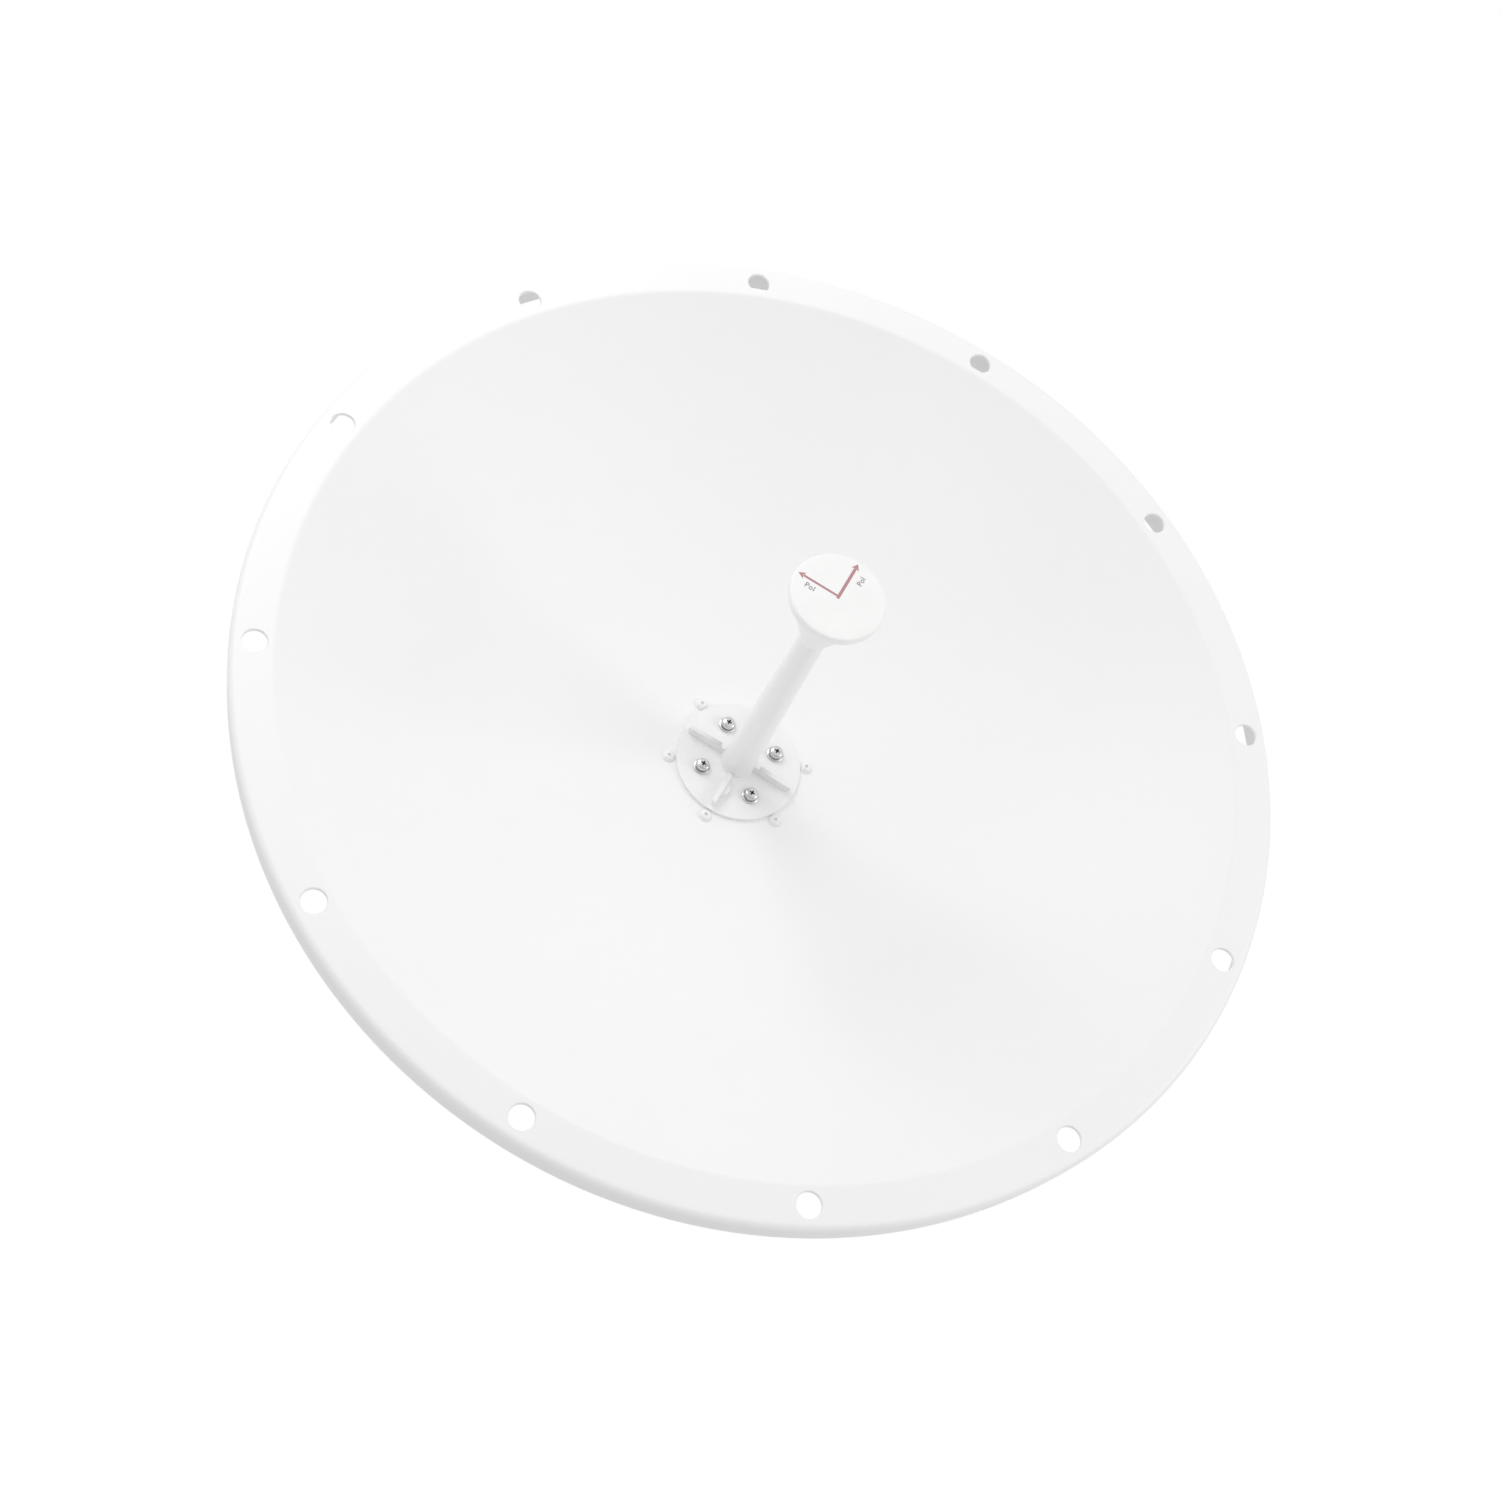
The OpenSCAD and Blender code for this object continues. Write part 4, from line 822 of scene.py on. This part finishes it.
class DISH_OT_feed(bpy.types.Operator):
    """Models the feed: ribbed base plate, tapered tube, cone and head disc"""
    bl_idname = "dish.feed"
    bl_label = "Feed"

    def execute(self, context):
        self.plate()
        self.tube()
        self.cone()
        self.disc()
        return {"FINISHED"}

    def plate(self):
        """The CAD plate with its edges softened, and a gap cut between each rib and the tube."""
        plate = softened("feed_base", 0.0005)
        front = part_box("feed_base")[0].y
        tube_r, gap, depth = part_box("feed_tube")[1].x + 0.0014, 0.0022, 0.0048
        for turn in range(4):
            tool = placed(block("gap"), size=(gap, depth * 2, 0.005), place=(tube_r + gap / 2, front, 0))
            cut(plate, placed(tool, turn=(0, turn * pi / 2, 0)))
        smooth(plate, 40)
        fitted(plate, "dish", "feed_paint", "feed_base")

    def tube(self):
        """A tapered tube with a straight root in the plate, and a small flare at its foot."""
        lo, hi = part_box("feed_tube")
        bore, foot, tip = 0.0066, hi.x, self.tip_r()
        foot_y = self.plate_front()
        length = foot_y - lo.y
        flare, flare_h = 0.0014, 0.008
        rings = [(foot, foot_y - hi.y), (foot, 0.0)]
        for z in (0.00005, 0.0008, 0.0016, 0.0026, 0.0038, 0.0052, 0.0066, flare_h):
            rings.append((foot + (tip - foot) * z / length + flare * (1 - z / flare_h) ** 2, z))
        rings += [(foot * (1 - t) + tip * t, length * t) for t in (0.15, 0.3, 0.5, 0.7, 0.85, 0.97)]
        rings += [(tip, length), (bore, length), (bore, foot_y - hi.y)]
        tube = turned("feed_tube_finished", rings, 96, closed=True)
        laid(smooth(tube, 30), FORWARDS, (0, foot_y, 0))
        fitted(tube, "dish", "feed_paint", "feed_tube")

    def plate_front(self):
        """Where the tube's straight root ends: the base plate's front face, under the washers."""
        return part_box("feed_washers")[1].y

    def tip_r(self):
        """The tube's radius where the cone begins."""
        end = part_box("feed_tube")[0].y
        return max(v.co.x for v in NODES["feed_tube"].data.vertices if v.co.y < end + 0.00001)

    def cone(self):
        """A flared cone on the tube's end, with a stem inside the tube."""
        lo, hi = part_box("feed_cone")
        stem, tip, wide = 0.00655, self.tip_r(), hi.x
        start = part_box("feed_tube")[0].y
        length = start - lo.y
        rings = [(stem, start - hi.y), (stem, 0), (tip, 0)]
        rings += [(tip + (wide - tip) * t, length * t) for t in (0.04, 0.2, 0.4, 0.6, 0.8, 0.96)]
        rings += [(wide, length)]
        cone = turned("feed_cone_finished", rings, 96)
        laid(smooth(cone, 30), FORWARDS, (0, start, 0))
        fitted(cone, "dish", "cone_plastic", "feed_cone")

    def disc(self):
        """The disc stops short of its CAD front, so that the print on it stays inside the box."""
        lo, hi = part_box("feed_disc")
        r, t, soft, centre_r = hi.x, hi.y - lo.y - PRINT_ROOM, 0.0016, 0.004
        flat_r = r - soft - 0.006
        rings = [(centre_r, 0), (flat_r, 0)] + corner(r - soft, soft, -90, 0, soft, 6)
        rings += corner(r - soft, t - soft, 0, 90, soft, 6) + [(flat_r, t), (centre_r, t)]
        disc = turned("feed_disc_finished", rings, 128)
        laid(smooth(disc, 40), FORWARDS, (0, hi.y, 0))
        fitted(disc, "dish", "disc_plastic", "feed_disc")


class DISH_OT_marks(bpy.types.Operator):
    """Prints the two polarisation arrows and their words on the head disc"""
    bl_idname = "dish.marks"
    bl_label = "Polarisation Marks"

    def execute(self, context):
        colours = context.scene.dish_colours
        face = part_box("feed_disc")[0].y + PRINT_ROOM
        arrows = [self.arrow(pi, (-0.0009, 0), 0.0254), self.arrow(pi / 2, (0, -0.0015), 0.0275, 0.0018)]
        words = [self.word("Pol", 0, (-0.0165, -0.0046)), self.word("Pol", pi / 2, (0.0066, 0.0168))]
        for name, pieces, finish in (("arrows_print", arrows, ink("Arrow Ink", colours.arrows)),
                                     ("words_print", words, ink("Word Ink", colours.words))):
            made = laid(joined(name, pieces), FORWARDS, (0, face - PRINT_GAP, 0))
            fitted(made, "dish", "disc_plastic", finish=finish)
        return {"FINISHED"}

    def arrow(self, turn, place, length, shaft=0.0014):
        """A flat arrow that starts at place and points along turn."""
        head, head_w = 0.0042, 0.0048
        only()
        bpy.ops.mesh.primitive_plane_add(size=1)
        bare = length - head * 0.8
        line = placed(bpy.context.object, size=(bare, shaft, 1), place=(bare / 2, 0, 0))
        bpy.ops.mesh.primitive_circle_add(vertices=3, radius=1, fill_type="NGON")
        tip = bpy.context.object
        bpy.ops.object.mode_set(mode="EDIT")
        bpy.ops.mesh.select_all(action="SELECT")
        bpy.ops.transform.rotate(value=-pi / 2, orient_axis="Z", center_override=(0, 0, 0))
        bpy.ops.object.mode_set(mode="OBJECT")
        self.barbed(tip)
        if max(v.co.x for v in tip.data.vertices) < 0.9:
            placed(tip, turn=(0, 0, pi))
        placed(tip, size=(head / 1.5, head_w / sqrt(3), 1), place=(length - head * 2 / 3, 0, 0))
        both = placed(joined("arrow", [line, tip]), turn=(0, 0, turn), place=(*place, 0))
        return self.thick(both)

    def barbed(self, tip):
        """Draws the middle of an arrow head's back edge forwards, which leaves two barbs."""
        far = max(tip.data.vertices, key=lambda v: abs(v.co.x)).index
        picked(tip, lambda v: v.index != far)
        ahead = 0.45 if tip.data.vertices[far].co.x > 0 else -0.45
        bpy.ops.object.mode_set(mode="EDIT")
        bpy.ops.mesh.select_mode(type="EDGE")
        bpy.ops.mesh.subdivide(number_cuts=1)
        bpy.ops.object.mode_set(mode="OBJECT")
        picked(tip, lambda v: abs(v.co.y) < 1e-4 and v.co.x * ahead < 0)
        bpy.ops.object.mode_set(mode="EDIT")
        bpy.ops.mesh.select_mode(type="VERT")
        bpy.ops.transform.translate(value=(ahead, 0, 0))
        bpy.ops.object.mode_set(mode="OBJECT")

    def word(self, letters, turn, place, height=0.0033):
        """Flat letters, centred on place and read along turn."""
        only()
        bpy.ops.object.text_add()
        text = bpy.context.object
        text.data.body = letters
        text.data.size = height / 0.70      # a capital is 0.70 of the letters' size
        text.data.align_x, text.data.align_y = "CENTER", "CENTER"
        text.data.space_character = 1.08
        text.data.offset = 0.00005
        bpy.ops.object.convert(target="MESH")
        word = placed(named(bpy.context.object, "word"), turn=(0, 0, turn), place=(*place, 0))
        return self.thick(word)

    def thick(self, piece):
        """Gives a flat print the thickness of its ink."""
        only(piece)
        bpy.ops.object.mode_set(mode="EDIT")
        bpy.ops.mesh.select_all(action="SELECT")
        bpy.ops.mesh.remove_doubles(threshold=WELD)
        bpy.ops.mesh.extrude_region_move(TRANSFORM_OT_translate={"value": (0, 0, INK_T)})
        bpy.ops.mesh.select_all(action="SELECT")
        bpy.ops.mesh.normals_make_consistent(inside=False)
        bpy.ops.object.mode_set(mode="OBJECT")
        return piece


# ---------------------------------------------------------------- screws and bolts

class DISH_OT_screws(bpy.types.Operator):
    """Models the cross-head screws and the washers on the feed plate and the housing"""
    bl_idname = "dish.screws"
    bl_label = "Cross-Head Screws"

    def execute(self, context):
        bright = self.screws("feed_screws", 0.005, FORWARDS, "bright_steel")
        # Painted shade: the recess of each bright screw and the underside of its head take the near-black
        # finish.
        paint_shade_onto(bright, "feed_screws", self.in_hollow)
        self.screws("hub_screws", 0.004, FORWARDS, "feed_paint", 0.0009)
        self.screws("cover_screws", 0.003, BACKWARDS, "stainless_steel")
        self.screws("housing_screws", 0.005, BACKWARDS, "stainless_steel")
        for node, gap in (("feed_washers", 0.0), ("feed_spring_washers", 0.0006)):
            lo, hi = solids(node)[0]
            pattern = washer("washer", 0.005, hi.y - lo.y, (hi.z - lo.z) / 2, 0.0027, edge=0.00028)
            if gap:
                self.split(pattern, gap)
            made = repeated(node + "_finished", pattern, node, lambda box: (FORWARDS, 0.0))
            fitted(made, "dish", "bright_steel", node)
            if gap:
                # Painted shade: the slanted chamfer faces of the spring washers take the near-black
                # finish, as dark rings.
                paint_shade_onto(made, node, lambda r, depth, face: 0.3 < abs(face.normal.y) < 0.95)
        return {"FINISHED"}

    def in_hollow(self, r, depth, face):
        """Picks the walls and floor of a bright screw's recess, and the underside of its head."""
        wall, under = abs(face.normal.y) < 0.3, face.normal.y > 0.3
        recess = r < 0.0028 and (wall or depth > 0.0012)
        return depth < 0.0032 and (recess or (r > 0.0036 and under))

    def split(self, ring, gap):
        """Cuts a spring washer through on one side, on the slant."""
        cut(ring, placed(block("blade"), (0.008, gap, 0.01), (radians(24), 0, 0), (0.004, 0, 0.0006)))

    def screws(self, node, d, way, slot, flange=0.0):
        """Models a node's screws. The node gives the head's width and the whole length."""
        lo, hi = solids(node)[0]
        shank = hi.y - lo.y - PAN_HEAD * d
        pattern = pan_screw("screw", d, (hi.x - lo.x) / 2, shank, flange)
        made = repeated(node + "_finished", pattern, node, lambda box: (way, shank))
        fitted(made, "dish", slot, node)
        return made


def hexagon(name, d, height, both_ends=False, bore=0.0):
    """A hexagon with its corners turned off, standing on Z = 0."""
    across, below, slope = 1.6 * d + 0.0002, 0.001, 0.577
    only()
    bpy.ops.mesh.primitive_cylinder_add(vertices=6, radius=across / sqrt(3), depth=height,
                                        location=(0, 0, height / 2))
    piece = named(bpy.context.object, name)
    settled(piece)
    # the cone that turns the corners off rises by slope from the sides to the flat top
    top = 0.475 * across
    rise = slope * (across - top)
    if both_ends and rise > height / 2:
        cone = [(top, 0), (top + (height / 2) / slope, height / 2), (top, height)]
    elif both_ends:
        cone = [(top, 0), (across, rise), (across, height - rise), (top, height)]
    elif rise > height:
        cone = [(top + (height + below) / slope, -below), (top, height)]
    else:
        cone = [(across, -below), (across, height - rise), (top, height)]
    cut(piece, turned("cone", cone, 48), "INTERSECT")
    if bore:
        chamfer, past = 0.1 * d, 0.0001
        cut(piece, turned("hole", [(bore + chamfer, -past), (bore, chamfer), (bore, height - chamfer),
                                   (bore + chamfer, height + past)], 40))
    return modified(piece, "BEVEL", width=0.00015, segments=2, limit_method="ANGLE",
                    angle_limit=radians(25))


def thread_rings(d, start, length, pitch):
    """A thread's outline from start, length long, ending in a chamfer."""
    crest, root = d / 2, d / 2 - 0.54 * pitch
    count = max(1, int(length / pitch))
    first = start + length - count * pitch
    rings = []
    for i in range(count):
        z = first + i * pitch
        rings += [(crest, z), (crest, z + 0.12 * pitch),
                  (root, z + 0.48 * pitch), (root, z + 0.62 * pitch)]
    end = start + length
    rings[-2:] = [(crest - 0.3 * pitch, end - 0.5 * pitch), (root - 0.2 * pitch, end)]
    return rings


def hex_bolt(name, d, length, threaded, pitch):
    """A hexagon bolt: its head is below Z = 0 and its shank above."""
    head = laid(hexagon("head", d, HEX_HEAD * d), -UP, (0, 0, 0))
    plain = max(0.0, length - threaded)
    rings = [(d / 2, -0.001)] + ([(d / 2, plain)] if plain else [])
    rings += thread_rings(d, plain, min(threaded, length), pitch)
    shank = turned("shank", rings, 28)
    return smooth(joined(name, [head, shank]), 32)


class DISH_OT_bolts(bpy.types.Operator):
    """Models the hexagon bolts, nuts and washers of the brackets and the clamp"""
    bl_idname = "dish.bolts"
    bl_label = "Hexagon Fasteners"

    def execute(self, context):
        self.pitch = context.scene.dish_shape.thread_pitch
        inwards = lambda box: Vector((-1 if box[0].x + box[1].x > 0 else 1, 0, 0))
        to_middle = lambda box: Vector((0, 0, -1 if box[0].z + box[1].z > 0 else 1))
        self.bolts("hub_bolts", "dish", 0.008, lambda box: FORWARDS, 0.004)
        self.bolts("tilt_lock_bolts", "dish", 0.008, inwards, 0.014)
        self.bolts("tilt_pivot_bolts", "swing", 0.010, inwards, 0.014)
        self.bolts("swing_bolt", "mast", 0.010, lambda box: -UP, 0.020)
        self.bolts("swing_lock_bolts", "mast", 0.008, to_middle, 0.014)
        self.bolts("clamp_bolts", "mast", 0.010, lambda box: BACKWARDS, 0.072)
        self.nuts("tilt_lock_nuts", "dish", 0.008, inwards)
        self.nuts("tilt_pivot_nuts", "swing", 0.010, inwards)
        self.nuts("swing_nut", "mast", 0.010, lambda box: -UP)
        self.nuts("swing_lock_nuts", "mast", 0.008, to_middle)
        self.nuts("upper_jaw_nuts", "upper_clamp", 0.010, lambda box: BACKWARDS)
        self.nuts("lower_jaw_nuts", "lower_clamp", 0.010, lambda box: BACKWARDS)
        self.washers("hub_bolt_washers", "dish", 0.008, lambda box: BACKWARDS)
        self.washers("tilt_lock_washers", "dish", 0.008, inwards)
        self.washers("tilt_pivot_washers", "swing", 0.010, inwards)
        self.washers("swing_washers", "mast", 0.010, to_middle)
        self.washers("swing_lock_washers", "mast", 0.008, to_middle)
        self.washers("clamp_bolt_washers", "mast", 0.010, lambda box: FORWARDS)
        self.washers("upper_jaw_washers", "upper_clamp", 0.010, lambda box: BACKWARDS)
        self.washers("lower_jaw_washers", "lower_clamp", 0.010, lambda box: BACKWARDS)
        return {"FINISHED"}

    def bolts(self, node, body, d, way_of, threaded):
        """Models a node's bolts. The node gives the whole length, head and all."""
        box = solids(node)[0]
        way = way_of(box)
        total = sum(abs(way[i]) * (box[1][i] - box[0][i]) for i in range(3))
        head = HEX_HEAD * d
        pattern = hex_bolt("bolt", d, total - head, threaded, self.pitch * d / 0.010)
        self.copies(pattern, node, body, way_of, head)

    def nuts(self, node, body, d, way_of):
        pattern = hexagon("nut", d, NUT * d, both_ends=True, bore=d / 2 + 0.00005)
        self.copies(smooth(pattern, 32), node, body, way_of)

    def washers(self, node, body, d, way_of):
        self.copies(washer("washer", d, WASHER * d), node, body, way_of)

    def copies(self, pattern, node, body, way_of, depth=0.0):
        """Puts a copy of the pattern in the place of each of a node's fasteners."""
        made = repeated(node + "_finished", pattern, node, lambda box: (way_of(box), depth))
        fitted(made, body, "stainless_steel", node)


# ---------------------------------------------------------------- hub, brackets, clamp

class DISH_OT_hub(bpy.types.Operator):
    """Finishes the cast hub ring, the feed housing with its cover, and the two coaxial sockets"""
    bl_idname = "dish.hub"
    bl_label = "Hub and Feed Housing"

    def execute(self, context):
        for node, width in (("hub_ring", 0.0008), ("feed_housing", 0.0007), ("housing_cover", 0.0008)):
            fitted(softened(node, width), "dish", "hub_paint", node)
        for node in ("upright_jack", "level_jack"):
            self.socket(node)
        return {"FINISHED"}

    def socket(self, node):
        """A coaxial socket: hexagon flange, threaded barrel and stem, its mouth facing down."""
        lo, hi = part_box(node)
        place = Vector(((lo.x + hi.x) / 2, (lo.y + hi.y) / 2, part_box("feed_housing")[0].z))
        flange_t, flange_r, worn = 0.003, 0.0108, 0.0004
        bore, mouth, outer, stem, pitch, thread = 0.00325, 0.0053, 0.0079, 0.006, 0.00106, 0.0006
        end, root_end = place.z - lo.z, place.z - hi.z
        flange = turned("flange", [(flange_r, worn), (flange_r - worn, 0), (bore, 0), (bore, flange_t),
                                   (flange_r - worn, flange_t), (flange_r, flange_t - worn)],
                        6, closed=True)
        rings = [(mouth, flange_t), (mouth, end - thread), (mouth + thread, end), (outer - thread, end)]
        for i in range(int((end - flange_t - 0.002) / pitch)):
            z = end - 0.0005 - i * pitch
            rings += [(outer, z - 0.30 * pitch), (outer, z - 0.45 * pitch),
                      (outer - thread, z - 0.9 * pitch)]
        rings += [(outer - thread, flange_t)]
        barrel = turned("barrel", rings, 48, closed=True)
        root = turned("stem", [(bore, 0.0005), (stem, 0.0005), (stem, root_end), (bore, root_end)],
                      48, closed=True)
        made = joined(node + "_finished", [flange, barrel, root])
        laid(smooth(made, 30), -UP, place)
        fitted(made, "dish", "jack_plating", node)


class DISH_OT_brackets(bpy.types.Operator):
    """Finishes the bent steel brackets and the spacer between them"""
    bl_idname = "dish.brackets"
    bl_label = "Brackets"

    def execute(self, context):
        for node, body in (("hub_bracket", "dish"), ("yoke", "swing"), ("mast_bracket", "mast")):
            fitted(softened(node, 0.0006), body, "galvanised_steel", node)
        fitted(softened("swing_spacer", 0.0004), "mast", "stainless_steel", "swing_spacer")
        return {"FINISHED"}


class DISH_OT_clamp(bpy.types.Operator):
    """Finishes the two cast clamp jaws"""
    bl_idname = "dish.clamp"
    bl_label = "Pole Clamp"

    def execute(self, context):
        for node, body in (("upper_jaw", "upper_clamp"), ("lower_jaw", "lower_clamp")):
            fitted(softened(node, 0.0010), body, "cast_clamp", node)
        return {"FINISHED"}


# ---------------------------------------------------------------- studio

class DISH_OT_studio(bpy.types.Operator):
    """Sets the camera, the soft lights, the white surroundings and the floor"""
    bl_idname = "dish.studio"
    bl_label = "Studio"

    # each lamp's name, place, size, and the setting that holds its power
    LAMPS = (("Key", (-0.8, -1.1, 0.45), 0.7, "key"), ("Fill", (1.6, -1.3, 0.45), 1.2, "fill"),
             ("Low", (-1.4, -1.5, -0.35), 1.6, "low"), ("Back", (0, 1.0, 1.2), 1.0, "back"))
    LAMP_TARGET = Vector((0, -0.25, 0))
    FLOOR_SIZE = 60
    FLOOR_COLOUR = (0.80, 0.80, 0.80, 1)

    def execute(self, context):
        studio = context.scene.dish_studio
        self.camera(context, studio)
        self.surroundings(context, studio)
        self.floor(studio)
        for name, place, size, power in self.LAMPS:
            self.light(name, place, size, getattr(studio, power))
        context.scene.view_settings.view_transform = "Standard"
        return {"FINISHED"}

    def camera(self, context, studio):
        only()
        bpy.ops.object.camera_add(location=studio.camera_place)
        camera = bpy.context.object
        sight = Vector(studio.camera_target) - Vector(studio.camera_place)
        camera.rotation_mode = "QUATERNION"
        camera.rotation_quaternion = sight.to_track_quat("-Z", "Y") @ Quaternion(UP, studio.camera_roll)
        camera.data.lens = studio.lens
        camera.data.sensor_width = 36
        camera.data.shift_x, camera.data.shift_y = studio.shift
        camera.data.clip_end = 50
        context.scene.camera = camera

    def surroundings(self, context, studio):
        """Even light on the object, and plain white to the camera, in gloss and through glass."""
        world = bpy.data.worlds.new("Studio")
        context.scene.world = world
        world.use_nodes = True
        tree = world.node_tree
        tree.nodes.clear()
        path = add(tree, "LightPath").outputs
        direct = add(tree, "Math", {0: path["Is Camera Ray"], 1: path["Is Glossy Ray"]},
                     operation="MAXIMUM")
        seen = add(tree, "Math", {0: direct.outputs[0], 1: path["Is Transmission Ray"]},
                   operation="MAXIMUM")
        soft = add(tree, "Background", {"Color": (1, 1, 1, 1), "Strength": studio.sky})
        white = add(tree, "Background", {"Color": (1, 1, 1, 1), "Strength": 1.0})
        both = add(tree, "MixShader", {0: seen.outputs[0], 1: soft.outputs[0], 2: white.outputs[0]})
        add(tree, "OutputWorld", {"Surface": both.outputs[0]})

    def floor(self, studio):
        """A plain pale floor, wide enough for every view."""
        only()
        bpy.ops.mesh.primitive_plane_add(size=self.FLOOR_SIZE, location=(0, 0, studio.floor_z))
        floor = named(bpy.context.object, "floor")
        bpy.ops.object.mode_set(mode="EDIT")
        bpy.ops.mesh.subdivide(number_cuts=4)
        bpy.ops.object.mode_set(mode="OBJECT")
        settled(floor)
        made = bpy.data.materials.new("Pale Floor")
        made.use_nodes = True
        tree = made.node_tree
        shader = next(n for n in tree.nodes if n.type == "BSDF_PRINCIPLED")
        tone_node = group(tree, "tone", {"Colour": self.FLOOR_COLOUR, "Scale": 1.5, "Amount": 0.02})
        tree.links.new(tone_node.outputs["Colour"], shader.inputs["Base Color"])
        shader.inputs["Roughness"].default_value = 0.8
        floor.data.materials.append(made)

    def light(self, name, place, size, power):
        """A soft round lamp, turned to the middle of the dish."""
        only()
        bpy.ops.object.light_add(type="AREA", location=place)
        lamp = bpy.context.object
        lamp.name = name
        lamp.data.shape = "DISK"
        lamp.data.size = size
        lamp.data.energy = power
        aim = self.LAMP_TARGET - Vector(place)
        lamp.rotation_euler = aim.to_track_quat("-Z", "Y").to_euler()


# ---------------------------------------------------------------- add-on

STEPS = (DISH_OT_finishes, DISH_OT_reflector, DISH_OT_feed, DISH_OT_marks, DISH_OT_screws, DISH_OT_hub,
         DISH_OT_brackets, DISH_OT_clamp, DISH_OT_bolts, DISH_OT_studio)


class DISH_PT_sidebar(bpy.types.Panel):
    """Lists the steps in order, with their sizes and colours"""
    bl_idname = "DISH_PT_sidebar"
    bl_label = "Dish"
    bl_space_type = "VIEW_3D"
    bl_region_type = "UI"
    bl_category = "Dish"

    def draw(self, context):
        for step in STEPS:
            self.layout.operator(step.bl_idname)
        for settings in (context.scene.dish_shape, context.scene.dish_colours, context.scene.dish_studio):
            box = self.layout.box()
            for name in settings.__annotations__:
                box.prop(settings, name)


CLASSES = (DishShape, DishColours, DishStudio) + STEPS + (DISH_PT_sidebar,)


def register():
    for each in CLASSES:
        bpy.utils.register_class(each)
    bpy.types.Scene.dish_shape = PointerProperty(type=DishShape)
    bpy.types.Scene.dish_colours = PointerProperty(type=DishColours)
    bpy.types.Scene.dish_studio = PointerProperty(type=DishStudio)


def unregister():
    del bpy.types.Scene.dish_shape, bpy.types.Scene.dish_colours, bpy.types.Scene.dish_studio
    for each in reversed(CLASSES):
        bpy.utils.unregister_class(each)


def main():
    register()
    bpy.ops.dish.finishes()
    bpy.ops.dish.reflector()
    bpy.ops.dish.feed()
    bpy.ops.dish.marks()
    bpy.ops.dish.screws()
    bpy.ops.dish.hub()
    bpy.ops.dish.brackets()
    bpy.ops.dish.clamp()
    bpy.ops.dish.bolts()
    bpy.ops.dish.studio()


if __name__ == "__main__":
    main()
